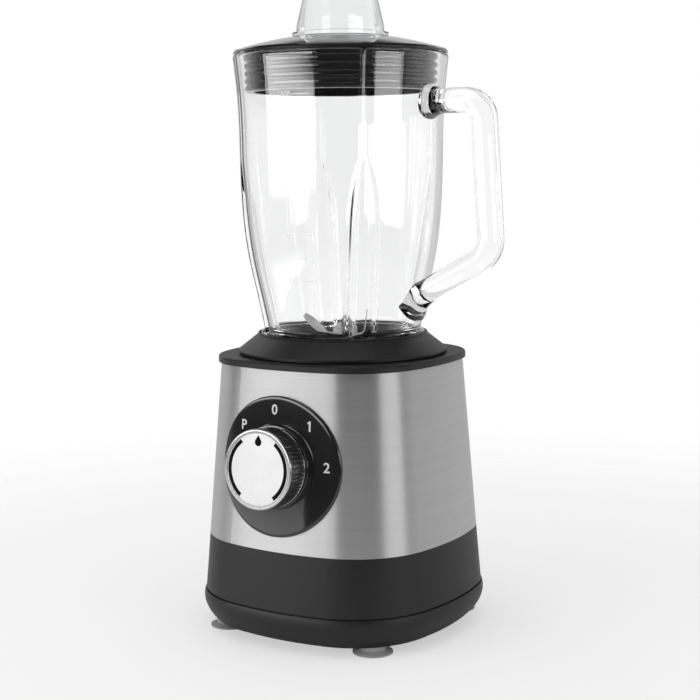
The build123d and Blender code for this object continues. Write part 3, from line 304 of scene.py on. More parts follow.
class MarkSizes(bpy.types.PropertyGroup):
    """Sizes of the printed marks."""
    ink: size("Ink thickness", "Thickness of printed ink", 0.06)
    ink_gap: size("Ink gap", "Height of the ink over plastic", 0.02)
    glass_gap: size("Ink gap on glass", "Height of the ink over the glass", 0.05)
    letter: size("Character height", "Height of the characters on the dial", 6.3)
    letter_radius: size("Character radius", "Distance of the characters from the dial's middle", 34.9)
    letter_weight: size("Character weight", "How far the characters' strokes are thickened", 0.13)
    arc_radius: size("Arc radius", "Outer radius of the two arcs on the knob's face", 21.4)
    arc_width: size("Arc width", "Width of the arcs", 2.4)
    drop_tip: size("Pointer tip", "Distance of the pointer's tip from the middle", 20.4)
    drop_length: size("Pointer length", "Length of the drop-shaped pointer", 6.3)
    drop_width: size("Pointer width", "Width of the drop-shaped pointer", 4.7)
    number_height: size("Number height", "Height of the numbers on the glass", 3.6)
    tick_length: size("Tick length", "Length of a long line on the glass", 11.0)
    tick_width: size("Tick width", "Width of a line on the glass", 0.5)
    tick_step: size("Tick step", "Distance between the lines on the glass", 14.0)
    scale_rise: size("Scale rise", "Height of the lowest line over the collar", 36.0)
    tick_count: whole_number("Ticks", "Number of lines on the glass", 9, 2)
    tick_bends: whole_number("Tick bends", "Points along a line, which follows the round glass", 12, 2)
    tick_short: share("Short lines", "Share by which every second line is shorter", 0.45)
    number_gap: size("Number gap", "Distance of the numbers' middle from the lines", 5.5)
    number_step: whole_number("Number step", "Millilitres from number to number", 300, 1)


class FinishColours(bpy.types.PropertyGroup):
    """Colours of the finishes."""
    steel: colour("Steel", "Brushed steel", 0.60)
    satin: colour("Satin black", "Moulded parts of the base and collar", 0.010)
    gloss: colour("Gloss black", "Lid and dial", 0.010)
    rubber: colour("Rubber", "Gasket, seals and gland", 0.006)
    foot: colour("Feet", "Grey rubber feet", 0.28)
    chrome: colour("Chrome", "Knob", 0.54)
    face: colour("Knob face", "White face of the knob", 0.80)
    glass: colour("Glass", "Tint of the jug", 0.995, 0.998, 0.997)
    cup: colour("Cup", "Tint of the measuring cup", 0.97, 0.98, 0.98)
    blade: colour("Blades", "Blades, their shaft and its small parts", 0.88)
    zinc: colour("Zinc", "Screws, bolts and nuts", 0.55, 0.56, 0.58)
    housing: colour("Housing", "Blade housing, couplings and switch", 0.007)
    stack: colour("Stack", "Sheets of the motor's cores", 0.24, 0.24, 0.25)
    copper: colour("Copper", "Windings and commutator", 0.62, 0.30, 0.16)
    bright: colour("Bright steel", "Motor shaft and bearings", 0.7, 0.7, 0.71)
    bronze: colour("Bronze", "Bushes and brush holders", 0.55, 0.36, 0.16)
    carbon: colour("Carbon", "Brushes", 0.03)
    spring: colour("Spring steel", "Brush springs", 0.5)
    cast: colour("Cast aluminium", "Brackets and switch shaft", 0.6, 0.6, 0.61)
    pale: colour("Pale plastic", "Fan and terminal block", 0.62, 0.62, 0.59)
    wire: colour("Wire cover", "Leads", 0.25, 0.03, 0.025)
    print_pale: colour("Pale print", "Characters on the dial", 0.62)
    print_white: colour("White print", "Scale on the glass", 0.90)
    print_black: colour("Black print", "Marks on the knob's face", 0.003)


class StudioSettings(bpy.types.PropertyGroup):
    """Camera, floor and lamps."""
    lens: FloatProperty(name="Lens", description="Focal length", default=76.56, unit="CAMERA")
    distance: size("Camera distance", "Distance of the camera from the motor's axis over the floor", 954.4)
    height: size("Camera height", "Height of the camera over the floor", 294.3)
    sensor: FloatProperty(name="Sensor", description="Width of the sensor", default=36.0, unit="CAMERA")
    azimuth: angle("Azimuth", "Camera's side turn from the front", 32.37)
    pitch: angle("Pitch", "Camera's tilt", -7.03)
    roll: angle("Roll", "Camera's roll", -0.47)
    shift: FloatProperty(name="Shift", description="Camera's side shift", default=0.01004, subtype="FACTOR")
    floor_radius: size("Floor radius", "Size of the floor", 1600.0)
    fade_start: size("Fade start", "Radius where the floor starts to fade out", 200.0)
    fade_end: size("Fade end", "Radius where the floor has faded out", 960.0)
    floor: colour("Floor", "Colour of the floor", 0.92)
    floor_fade: share("Floor fade", "How far the floor fades into the white where it is seen", 0.5)
    ambient: light_level("Ambient", "Strength of the light from all round", 0.55)
    back_wall: light_level("Back wall", "Strength of the wall behind in mirrors", 0.65)
    dark_room: light_level("Dark room", "Strength of the room in front in mirrors", 0.05)
    wall_turn: angle("Wall turn", "Side turn of the wall's middle from the front", 197.0)


class Term:
    """A socket in a node tree; arithmetic on it adds Math nodes to the same tree."""

    def __init__(self, nodes, socket):
        self.nodes = nodes
        self.socket = socket

    def maths(self, operation, first, second):
        """A Math node on two terms or numbers."""
        return self.nodes.add("ShaderNodeMath", {"operation": operation}, {0: first, 1: second})

    def __add__(self, other):
        return self.maths("ADD", self, other)

    def __radd__(self, other):
        return self.maths("ADD", other, self)

    def __sub__(self, other):
        return self.maths("SUBTRACT", self, other)

    def __rsub__(self, other):
        return self.maths("SUBTRACT", other, self)

    def __mul__(self, other):
        return self.maths("MULTIPLY", self, other)

    def __rmul__(self, other):
        return self.maths("MULTIPLY", other, self)


class Nodes:
    """A node tree under construction."""

    def __init__(self, tree):
        self.tree = tree

    def add(self, kind, settings=None, sockets=None, out=0):
        """Adds a node: its settings first, then the values or links of its sockets."""
        node = self.tree.nodes.new(kind)
        for key, value in (settings or {}).items():
            setattr(node, key, value)
        for key, value in (sockets or {}).items():
            self.feed(node.inputs[key], value)
        return Term(self, node.outputs[out])

    def feed(self, socket, value):
        """Links a term to a socket, or sets the socket's own value."""
        if isinstance(value, Term):
            self.tree.links.new(value.socket, socket)
        else:
            socket.default_value = value

    def least_one(self, count):
        """Nothing for a count of nothing, one for any higher count."""
        return self.add("ShaderNodeMath", {"operation": "MINIMUM"}, {0: count, 1: 1.0})

    def smooth_step(self, value, low, high):
        """Smooth rise from nothing to one between two values."""
        sockets = {"Value": value, "From Min": low, "From Max": high}
        return self.add("ShaderNodeMapRange", {"interpolation_type": "SMOOTHSTEP"}, sockets)


class Finish(Nodes):
    """A material on one Principled shader, with patterns in Object coordinates."""

    def __init__(self, name):
        self.material = bpy.data.materials.new("finish_" + name)
        self.material.use_nodes = True
        super().__init__(self.material.node_tree)
        self.shader = next(node for node in self.tree.nodes if node.type == "BSDF_PRINCIPLED")

    def set(self, **sockets):
        """Values or links of the shader's sockets, with underscores for spaces."""
        for key, value in sockets.items():
            self.feed(self.shader.inputs[key.replace("_", " ")], value)
        return self.material

    def cover(self, factor, shader):
        """Lets another shader take over from the Principled one by a factor."""
        own = Term(self, self.shader.outputs[0])
        mixed = self.add("ShaderNodeMixShader", sockets={0: factor, 1: own, 2: shader})
        output = next(node for node in self.tree.nodes if node.type == "OUTPUT_MATERIAL")
        self.feed(output.inputs["Surface"], mixed)

    def place(self, *scale):
        """Object coordinates, scaled along each axis."""
        coordinates = self.add("ShaderNodeTexCoord", out="Object")
        return self.add("ShaderNodeMapping", sockets={"Vector": coordinates, "Scale": scale})

    def noise(self, *scale, detail=3.0, rough=0.55):
        """Noise between nothing and one, with its repeats per metre along each axis."""
        scale = scale * 3 if len(scale) == 1 else scale
        sockets = {"Vector": self.place(*scale), "Scale": 1.0, "Detail": detail, "Roughness": rough}
        return self.add("ShaderNodeTexNoise", sockets=sockets)

    def mix(self, factor, first, second):
        """Colour between two colours."""
        sockets = {0: factor, 6: (*first, 1.0), 7: (*second, 1.0)}
        return self.add("ShaderNodeMix", {"data_type": "RGBA"}, sockets, out=2)

    def mottle(self, pattern, rgb, dark, light):
        """A colour that a pattern takes from a darker to a lighter shade."""
        return self.mix(pattern, shade(rgb, dark), shade(rgb, light))

    def bump(self, height, strength, distance):
        """Normal bent by a height pattern."""
        sockets = {"Height": height, "Strength": strength, "Distance": distance}
        return self.add("ShaderNodeBump", sockets=sockets)


def shade(rgb, factor):
    """A colour made lighter or darker."""
    return tuple(min(1.0, channel * factor) for channel in rgb)


def steel_finish(name, rgb, along, across, rough=(0.36, 0.12), anisotropic=0.9, metallic=1.0):
    """Brushed steel with fine lines along the horizontal."""
    finish = Finish(name)
    lines = finish.noise(along, along, across, detail=4.0, rough=0.7)
    bands = finish.noise(along / 3, along / 3, across / 9, detail=2.0)
    tone = lines * 0.7 + bands * 0.3
    return finish.set(
        Base_Color=finish.mottle(tone, rgb, 0.82, 1.14), Metallic=metallic,
        Roughness=rough[0] + rough[1] * tone, Anisotropic=anisotropic, Anisotropic_Rotation=0.25,
        Normal=finish.bump(lines, 0.12, 0.0002))


def satin_finish(name, rgb, rough=0.44, grain=1300.0, depth=0.0001, level=0.35):
    """Moulded plastic with a fine spark-eroded grain and faint handling marks."""
    finish = Finish(name)
    pits = finish.noise(grain, detail=2.0)
    cloud = finish.noise(26.0, detail=4.0)
    return finish.set(
        Base_Color=finish.mottle(cloud, rgb, 0.85, 1.2),
        Roughness=rough - 0.06 + 0.12 * cloud, Specular_IOR_Level=level,
        Normal=finish.bump(pits, 0.35, depth))


def gloss_finish(name, rgb):
    """Polished moulded plastic with faint flow lines."""
    finish = Finish(name)
    cloud = finish.noise(34.0, detail=5.0)
    flow = finish.noise(55.0, detail=1.0)
    return finish.set(
        Base_Color=finish.mottle(cloud, rgb, 0.9, 1.25), Roughness=0.07 + 0.06 * cloud,
        Coat_Weight=0.6, Coat_Roughness=0.04, Specular_IOR_Level=0.4, Normal=finish.bump(flow, 0.04, 0.0006))


def rubber_finish(name, rgb, rough=0.62, uneven=0.2, level=0.5):
    """Matt rubber with a fine skin and dusty patches."""
    finish = Finish(name)
    skin = finish.noise(1900.0, detail=3.0)
    dust = finish.noise(60.0, detail=5.0)
    return finish.set(
        Base_Color=finish.mottle(dust, rgb, 0.8, 1.3), Specular_IOR_Level=level,
        Roughness=rough + uneven * dust, Normal=finish.bump(skin, 0.3, 0.00008))


def chrome_finish(name, rgb, rough):
    """Bright plating with a faint turned texture."""
    finish = Finish(name)
    turned = finish.noise(900.0, 60.0, 900.0, detail=3.0)
    cloud = finish.noise(45.0, detail=4.0)
    return finish.set(
        Base_Color=finish.mottle(cloud, rgb, 0.93, 1.05), Metallic=1.0,
        Roughness=rough + 0.06 * cloud, Normal=finish.bump(turned, 0.05, 0.0001))


def clear_finish(name, rgb, index, rough):
    """Clear glass or plastic with the slight waves of a pressed wall, which lets trapped light out."""
    finish = Finish(name)
    waves = finish.noise(42.0, 42.0, 20.0, detail=1.0)
    film = finish.noise(30.0, detail=4.0)
    turns = finish.add("ShaderNodeLightPath", out="Ray Depth")
    trapped = finish.add("ShaderNodeMath", {"operation": "GREATER_THAN"}, {0: turns, 1: TRAPPED_TURNS})
    finish.cover(trapped, finish.add("ShaderNodeBsdfTransparent"))
    return finish.set(
        Base_Color=finish.mottle(film, rgb, 0.995, 1.0), Roughness=rough * film, IOR=index,
        Transmission_Weight=1.0, Normal=finish.bump(waves, 0.12, 0.0008))


def ink_finish(name, rgb, level=0.5):
    """Screen-printed ink, a little uneven."""
    finish = Finish(name)
    cover = finish.noise(1500.0, detail=3.0)
    return finish.set(
        Base_Color=finish.mottle(cover, rgb, 0.92, 1.05), Specular_IOR_Level=level,
        Roughness=0.38 + 0.12 * cover, Normal=finish.bump(cover, 0.1, 0.00003))


def cast_finish(name, rgb, rough=0.45):
    """Cast or plated metal with a sandy skin."""
    finish = Finish(name)
    sand = finish.noise(1300.0, detail=4.0)
    cloud = finish.noise(70.0, detail=4.0)
    return finish.set(
        Base_Color=finish.mottle(cloud, rgb, 0.85, 1.12), Metallic=1.0,
        Roughness=rough + 0.15 * sand, Normal=finish.bump(sand, 0.25, 0.0001))


def layered_finish(name, rgb, layers, metallic, rough):
    """Stacked sheets or wound wire: fine lines along the motor's length."""
    finish = Finish(name)
    sockets = {"Vector": finish.place(1.0, 1.0, layers), "Scale": 1.0, "Distortion": 0.0, "Detail": 0.0}
    lines = finish.add("ShaderNodeTexWave", {"bands_direction": "Z"}, sockets, out="Fac")
    cloud = finish.noise(120.0, detail=4.0)
    tone = lines * 0.6 + cloud * 0.4
    return finish.set(
        Base_Color=finish.mottle(tone, rgb, 0.6, 1.15), Metallic=metallic,
        Roughness=rough + 0.15 * cloud, Normal=finish.bump(lines, 0.3, 0.0002))


def make_finishes(colours):
    """One material for each slot of the record, and the printing inks."""
    recipes = {
        "brushed_steel": (steel_finish, colours.steel, dict(along=22.0, across=2200.0)),
        "satin_black": (satin_finish, colours.satin, {}),
        "gloss_black": (gloss_finish, colours.gloss, {}),
        "grey_rubber": (rubber_finish, colours.foot, {}),
        "black_rubber": (rubber_finish, colours.rubber, dict(rough=0.08, uneven=0.1, level=1.0)),
        "bright_chrome": (chrome_finish, colours.chrome, dict(rough=0.17)),
        "white_face": (satin_finish, colours.face, dict(rough=0.3, grain=900.0, depth=0.00002)),
        "clear_glass": (clear_finish, colours.glass, dict(index=1.5, rough=0.01)),
        "clear_plastic": (clear_finish, colours.cup, dict(index=1.47, rough=0.05)),
        "blade_steel": (steel_finish, colours.blade, dict(
            along=260.0, across=260.0, rough=(0.26, 0.14), anisotropic=0.0, metallic=0.15)),
        "zinc_steel": (cast_finish, colours.zinc, dict(rough=0.3)),
        "housing_black": (satin_finish, colours.housing, dict(rough=0.5, level=0.2)),
        "stack_steel": (layered_finish, colours.stack, dict(layers=2000.0, metallic=0.8, rough=0.5)),
        "copper": (layered_finish, colours.copper, dict(layers=1300.0, metallic=0.9, rough=0.35)),
        "bright_steel": (chrome_finish, colours.bright, dict(rough=0.18)),
        "bronze": (cast_finish, colours.bronze, dict(rough=0.35)),
        "carbon": (satin_finish, colours.carbon, dict(rough=0.6, grain=1200.0)),
        "spring_steel": (layered_finish, colours.spring, dict(layers=900.0, metallic=1.0, rough=0.3)),
        "cast_aluminium": (cast_finish, colours.cast, {}),
        "pale_plastic": (satin_finish, colours.pale, dict(rough=0.45)),
        "wire_cover": (satin_finish, colours.wire, dict(rough=0.4)),
        "pale_ink": (ink_finish, colours.print_pale, {}),
        "white_ink": (ink_finish, colours.print_white, {}),
        "black_ink": (ink_finish, colours.print_black, dict(level=0.05)),
    }
    return {slot: maker(slot, rgb, **values) for slot, (maker, rgb, values) in recipes.items()}


def material(name):
    """A finish that the dressing operator made."""
    return bpy.data.materials["finish_" + name]


def add_piece(name, mesh, body, slot, finish=None, replaced=()):
    """Puts a finished mesh into the scene on its body."""
    piece = bpy.data.objects.new(name, mesh)
    bpy.context.scene.collection.objects.link(piece)
    mesh.materials.clear()
    mesh.materials.append(material(finish or slot))
    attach(piece, body)
    if replaced:
        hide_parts(*replaced)


def make_mesh(name, points, faces, sharp=EDGE_SHARP):
    """Mesh from points and faces, smooth except over sharp edges."""
    mesh = bpy.data.meshes.new(name)
    mesh.from_pydata([tuple(point) for point in points], [], faces)
    mesh.validate()
    smooth(mesh, sharp)
    return mesh


def smooth(mesh, sharp=EDGE_SHARP):
    """Smooth shading with the edges over an angle kept sharp."""
    mesh.shade_smooth()
    mesh.set_sharp_from_angle(angle=math.radians(sharp))


def grid_faces(rows, columns, closed_rows):
    """Quads between rows of points; each row is a closed loop, and the rows may close too."""
    faces = []
    for row in range(rows if closed_rows else rows - 1):
        for column in range(columns):
            after = (column + 1) % columns
            low = row * columns
            high = (row + 1) % rows * columns
            faces.append((low + column, low + after, high + after, high + column))
    return faces


def capped_faces(rows, columns):
    """Quads between rows of points, with one face over the first and one over the last row."""
    faces = grid_faces(rows, columns, False)
    faces.append(tuple(range(columns)))
    faces.append(tuple((rows - 1) * columns + k for k in reversed(range(columns))))
    return faces


def rounded(corners, steps=ROUND_STEPS):
    """Closed outline of (radius, height, rounding) corners, with an arc at each rounding."""
    outline = []
    count = len(corners)
    for index, (across, up, rounding) in enumerate(corners):
        here = Vector((across, up))
        before = Vector(corners[index - 1][:2]) - here
        after = Vector(corners[(index + 1) % count][:2]) - here
        turn = before.angle(after)
        if rounding <= 0.0 or math.pi - turn < STRAIGHT:
            outline.append(here)
            continue
        reach = rounding / math.tan(turn / 2)
        before.normalize()
        after.normalize()
        centre = here + (before + after).normalized() * (rounding / math.sin(turn / 2))
        start = here + before * reach - centre
        end = here + after * reach - centre
        for step in range(steps + 1):
            part = start.lerp(end, step / steps).normalized() * rounding
            outline.append(centre + part)
    return [(point.x, point.y) for point in outline]


def jug_place():
    """Frame of the jug: its axis upwards, heights from the floor."""
    return Matrix.Translation((AXIS.x, AXIS.y, 0))


def dial_place():
    """Frame of the dial: right, up and out of the steel, from the middle of the dial."""
    columns = Matrix((DIAL_RIGHT, DIAL_UP, DIAL_OUT)).transposed()
    return Matrix.Translation(DIAL_CENTRE) @ columns.to_4x4()


def lathe(name, outline, place, segments, sharp=EDGE_SHARP):
    """Solid of a closed (radius, height) outline turned about the third axis of a frame."""
    angles = np.linspace(0, 2 * np.pi, segments, endpoint=False)
    points = []
    for radius, height in outline:
        points.extend(place @ Vector((radius * math.cos(a), radius * math.sin(a), height)) for a in angles)
    return tidy_mesh(make_mesh(name, points, grid_faces(len(outline), segments, True), sharp), sharp)


def tidy_mesh(mesh, sharp=EDGE_SHARP):
    """Merges doubled points, drops stray edges and turns the faces outwards."""
    work = bmesh.new()
    work.from_mesh(mesh)
    bmesh.ops.remove_doubles(work, verts=work.verts, dist=MERGE_REACH)
    bmesh.ops.dissolve_degenerate(work, edges=work.edges, dist=COLLAPSE_REACH)
    stray = [edge for edge in work.edges if not edge.link_faces]
    bmesh.ops.delete(work, geom=stray, context="EDGES")
    bmesh.ops.recalc_face_normals(work, faces=work.faces)
    work.to_mesh(mesh)
    work.free()
    smooth(mesh, sharp)
    return mesh


def smooth_line(heights, values):
    """Natural cubic curve through values at rising heights, as a function of height."""
    heights = np.array(heights)
    values = np.array(values)
    steps = np.diff(heights)
    slopes = np.diff(values) / steps
    count = len(heights)
    system = np.eye(count)
    right = np.zeros(count)
    for k in range(1, count - 1):
        system[k, k - 1:k + 2] = steps[k - 1], 2 * (steps[k - 1] + steps[k]), steps[k]
        right[k] = 6 * (slopes[k] - slopes[k - 1])
    bends = np.linalg.solve(system, right)

    def value(height):
        """The curve's value at a height."""
        k = int(np.clip(np.searchsorted(heights, height) - 1, 0, count - 2))
        step = steps[k]
        low = height - heights[k]
        high = heights[k + 1] - height
        cubic = (bends[k] * high**3 + bends[k + 1] * low**3) / (6 * step)
        first = (values[k] / step - bends[k] * step / 6) * high
        second = (values[k + 1] / step - bends[k + 1] * step / 6) * low
        return float(cubic + first + second)

    return value


def ease(low, high, value):
    """Smooth step from nothing to one."""
    part = np.clip((value - low) / (high - low), 0.0, 1.0)
    return part * part * (3 - 2 * part)


def wall_line(glass):
    """Outer radius of the glass wall as a function of height."""
    rises = [glass.foot_rise, glass.bowl_rise, glass.shoulder_rise, glass.belly_rise, glass.lip_rise]
    heights = [COLLAR_TOP + rise for rise in rises] + [RIM_TOP - glass.rim_round]
    radii = [glass.foot_radius, glass.bowl_radius, glass.shoulder_radius, glass.belly_radius,
             glass.lip_radius, glass.rim_radius]
    return smooth_line(heights, radii)


def glass_profile(glass):
    """Closed (radius, height) line of the glass: up the outside, over the rim, down the inside."""
    wall = wall_line(glass)
    foot = COLLAR_TOP + glass.foot_rise
    top = RIM_TOP - glass.rim_round
    heights = np.linspace(foot, top, WALL_ROWS)
    bead_half = glass.bead_height / 2
    outside = [(glass.neck_radius, NECK_LOW), (glass.neck_radius, COLLAR_TOP - bead_half - MM)]
    for turn in np.linspace(-np.pi / 2, np.pi / 2, BEAD_ROWS):
        swell = (glass.bead_radius - glass.neck_radius) * math.cos(turn)
        lean = (glass.foot_radius - glass.neck_radius) * (math.sin(turn) + 1) / 2
        outside.append((glass.neck_radius + max(swell, lean), COLLAR_TOP + bead_half * math.sin(turn)))
    outside += [(wall(height), height) for height in heights]
    rim_inner = glass.rim_radius - glass.wall
    rim_mid = glass.rim_radius - glass.wall / 2
    rim = [(rim_mid + glass.wall / 2 * math.cos(turn), top + glass.rim_round * math.sin(turn))
           for turn in np.linspace(0, np.pi, RIM_ROWS)[1:-1]]
    inside = [(rim_inner, top)] + [(wall(height) - glass.wall, height) for height in heights[-2::-1]]
    throat_top = COLLAR_TOP - glass.bead_height
    throat = [(glass.throat_radius, throat_top), (glass.throat_radius, NECK_LOW)]
    return outside, rim, inside, throat


def off_centre(angles, centre, turn):
    """Angles measured from the nearest of the places that repeat every turn."""
    return (angles - centre + turn / 2) % turn - turn / 2


def flute_depth(glass, height, radius, angles, grow):
    """How far the four round flutes press the wall in at a height; the inner side grows by the wall."""
    rise = height - COLLAR_TOP
    arch = np.clip((glass.belly_rise - rise) / (glass.belly_rise - glass.shoulder_rise), 0.0, 1.0)
    full = 1 - (1 - arch)**3
    foot = ease(-glass.bead_height, 0.0, rise)
    bow = glass.flute_tip + (glass.flute_radius - glass.flute_tip) * full + grow
    across = np.abs(radius * np.sin(off_centre(angles, FLUTE_ANGLE, np.pi / 2)))
    inner = np.sqrt(np.clip(bow**2 - across**2, 0.0, None))
    beyond = np.clip(across - bow, 0.0, None)
    depth = inner - FLUTE_FALL * beyond - glass.flute_sink * full - grow
    soft = glass.flute_soft * (glass.tip_soft + (1 - glass.tip_soft) * full)
    return foot * (depth + np.sqrt(depth**2 + soft**2)) / 2


def spout_push(glass, height, radius, angles):
    """How far the spout leans the wall out at a height, for each angle."""
    rise = ease(RIM_TOP - glass.spout_length, RIM_TOP, height)
    off = np.clip(np.abs(off_centre(angles, SPOUT_ANGLE, 2 * np.pi)), 0.0, np.pi / 2)
    return glass.spout_reach * rise * np.exp(-(radius * np.sin(off) / glass.spout_width)**2)


def wall_angles(glass):
    """Angles round the wall, close together over the flutes."""
    reach = FLUTE_SPREAD * (glass.flute_radius + glass.wall) / glass.foot_radius
    fine = np.linspace(-reach, reach, FLUTE_COLUMNS, endpoint=False)
    coarse = np.linspace(reach, np.pi / 2 - reach, PLAIN_COLUMNS, endpoint=False)
    quarter = FLUTE_ANGLE + np.concatenate([fine, coarse])
    return np.concatenate([quarter + turn * np.pi / 2 for turn in range(4)])


def make_glass_wall(glass):
    """The jug's wall as a closed shell with its flutes and spout."""
    outside, rim, inside, throat = glass_profile(glass)
    angles = wall_angles(glass)
    rows = [(radius, height, 0.0) for radius, height in outside + rim]
    rows += [(radius, height, glass.wall) for radius, height in inside + throat]
    points = []
    for radius, height, grow in rows:
        ring = radius - flute_depth(glass, height, radius, angles, grow)
        ring = ring + spout_push(glass, height, radius, angles)
        xs = AXIS.x + ring * np.cos(angles)
        ys = AXIS.y + ring * np.sin(angles)
        points.extend((x, y, height) for x, y in zip(xs, ys))
    return make_mesh("glass_wall", points, grid_faces(len(rows), len(angles), True))


def filleted(points, radii):
    """Line through points with its inner corners rounded."""
    line = [Vector(points[0])]
    for index, radius in enumerate(radii, start=1):
        here = Vector(points[index])
        before = (Vector(points[index - 1]) - here).normalized()
        after = (Vector(points[index + 1]) - here).normalized()
        turn = before.angle(after)
        centre = here + (before + after).normalized() * (radius / math.sin(turn / 2))
        start = here + before * (radius / math.tan(turn / 2)) - centre
        end = here + after * (radius / math.tan(turn / 2)) - centre
        for step in range(BEND_STEPS + 1):
            line.append(centre + start.lerp(end, step / BEND_STEPS).normalized() * radius)
    line.append(Vector(points[-1]))
    return line


def spread(line, step):
    """Points at even steps along a line."""
    places = [0.0]
    for first, second in zip(line, line[1:]):
        places.append(places[-1] + (second - first).length)
    count = max(2, round(places[-1] / step))
    wanted = np.linspace(0, places[-1], count + 1)
    axes = [np.interp(wanted, places, [point[k] for point in line]) for k in range(2)]
    return [Vector(pair) for pair in zip(*axes)], wanted, places[-1]


def make_handle(glass, handle):
    """The glass bar of the handle, its ends drawn onto the middle of the jug's wall."""
    wall = wall_line(glass)
    top = COLLAR_TOP + handle.top_rise
    low = COLLAR_TOP + handle.low_rise
    root = COLLAR_TOP + handle.root_rise
    corners = [(wall(top) - glass.wall, top), (handle.reach_top, top), (handle.reach_low, low),
               (wall(root) - glass.wall, root)]
    line, places, length = spread(filleted(corners, (handle.top_bend, handle.low_bend)), HANDLE_STEP)
    turns = np.linspace(0, 2 * np.pi, HANDLE_COLUMNS, endpoint=False)
    points = []
    for index, middle in enumerate(line):
        ahead = line[min(index + 1, len(line) - 1)] - line[max(index - 1, 0)]
        ahead.normalize()
        across = Vector((-ahead.y, ahead.x))
        end = min(places[index], length - places[index])
        swell = 1 + handle.flare * max(0.0, 1 - (end - glass.wall) / handle.flare_length)**2
        for turn in turns:
            wide = handle.width / 2 * swell * squared(math.sin(turn))
            thick = handle.thick / 2 * swell * squared(math.cos(turn))
            points.append(on_wall_middle(glass, wall, middle + across * thick, wide))
    return tidy_mesh(make_mesh("handle_bar", points, capped_faces(len(line), HANDLE_COLUMNS)))


def squared(wave):
    """A sine or cosine drawn towards the square that a pressed bar is."""
    return math.copysign(abs(wave)**HANDLE_SQUARENESS, wave)


def on_wall_middle(glass, wall, spot, wide):
    """Point of the handle, moved out to the middle of the jug's wall where it lies deeper."""
    radius = math.hypot(spot.x, wide)
    least = wall(min(max(spot.y, COLLAR_TOP + glass.foot_rise), RIM_TOP)) - glass.wall / 2
    grow = max(1.0, least / radius)
    return (AXIS.x + spot.x * grow, AXIS.y + wide * grow, spot.y)


def join_solids(first, second, way="UNION"):
    """Two closed meshes joined, or the second cut out of the first, as one mesh."""
    host = bpy.data.objects.new("union_host", first)
    guest = bpy.data.objects.new("union_guest", second)
    for helper in (host, guest):
        bpy.context.scene.collection.objects.link(helper)
    union = host.modifiers.new("union", "BOOLEAN")
    union.operation = way
    union.solver = "MANIFOLD"
    union.object = guest
    mesh = evaluated_mesh(host)
    for helper in (host, guest):
        bpy.data.objects.remove(helper)
    return mesh


def evaluated_mesh(piece):
    """Plain mesh of an object with its modifiers applied."""
    graph = bpy.context.evaluated_depsgraph_get()
    return bpy.data.meshes.new_from_object(piece.evaluated_get(graph))


class Pattern(Nodes):
    """A Geometry Nodes tree with named inputs, made into a plain mesh."""

    def __init__(self, name, **inputs):
        super().__init__(bpy.data.node_groups.new(name, "GeometryNodeTree"))
        self.values = {}
        face = self.tree.interface
        face.new_socket("Geometry", in_out="OUTPUT", socket_type="NodeSocketGeometry")
        for key, value in {**inputs, "material": None}.items():
            kind = {int: "Int", float: "Float"}.get(type(value), "Material")
            socket = face.new_socket(key, in_out="INPUT", socket_type="NodeSocket" + kind)
            self.values[socket.identifier] = value
        self.entry = self.tree.nodes.new("NodeGroupInput")

    def input(self, name):
        """An input of the tree, by its name."""
        return Term(self, self.entry.outputs[name])

    def repeat(self, points, instance, **sockets):
        """A copy of a shape on each point."""
        sockets = {"Points": points, "Instance": instance, **sockets}
        return self.add("GeometryNodeInstanceOnPoints", sockets=sockets)

    def vector(self, x, y, z):
        """A vector of three terms or numbers."""
        return self.add("ShaderNodeCombineXYZ", sockets={0: x, 1: y, 2: z})

    def mesh(self, geometry, finish):
        """The finished geometry as a plain mesh with its material."""
        real = self.add("GeometryNodeRealizeInstances", sockets={"Geometry": geometry})
        sockets = {"Geometry": real, "Material": self.input("material")}
        dressed = self.add("GeometryNodeSetMaterial", sockets=sockets)
        self.feed(self.tree.nodes.new("NodeGroupOutput").inputs[0], dressed)
        host = bpy.data.objects.new(self.tree.name, bpy.data.meshes.new(self.tree.name))
        bpy.context.scene.collection.objects.link(host)
        modifier = host.modifiers.new("pattern", "NODES")
        modifier.node_group = self.tree
        for identifier, value in self.values.items():
            modifier[identifier] = material(finish) if value is None else value
        mesh = evaluated_mesh(host)
        mesh.name = self.tree.name
        bpy.data.objects.remove(host)
        return mesh


def moved(mesh, place):
    """Applies a frame to a mesh."""
    mesh.transform(place)
    mesh.update()
    return mesh


def knob_ribs(knob, foot, top):
    """Half-round ribs round the knob's side."""
    low = foot + knob.rib_low
    high = top - knob.bezel
    ribs = Pattern("knob_ribs", count=knob.rib_count, radius=knob.radius - knob.rib_depth,
                   sides=knob.rib_sides, size=knob.rib_depth, height=high - low, middle=(high + low) / 2)
    ring = ribs.add("GeometryNodeMeshCircle", sockets={
        "Vertices": ribs.input("count"), "Radius": ribs.input("radius")})
    bar = ribs.add("GeometryNodeMeshCylinder", sockets={
        "Vertices": ribs.input("sides"), "Radius": ribs.input("size"), "Depth": ribs.input("height")})
    rise = ribs.vector(0.0, 0.0, ribs.input("middle"))
    raised = ribs.add("GeometryNodeSetPosition", sockets={"Geometry": ring, "Offset": rise})
    return moved(ribs.mesh(ribs.repeat(raised, bar), "bright_chrome"), dial_place())


def dial_height(node, pick):
    """Height over the dial's middle of a node's lowest or highest point."""
    vertices = frame["nodes"][node].data.vertices
    return pick((vertex.co - DIAL_CENTRE).dot(DIAL_OUT) for vertex in vertices)


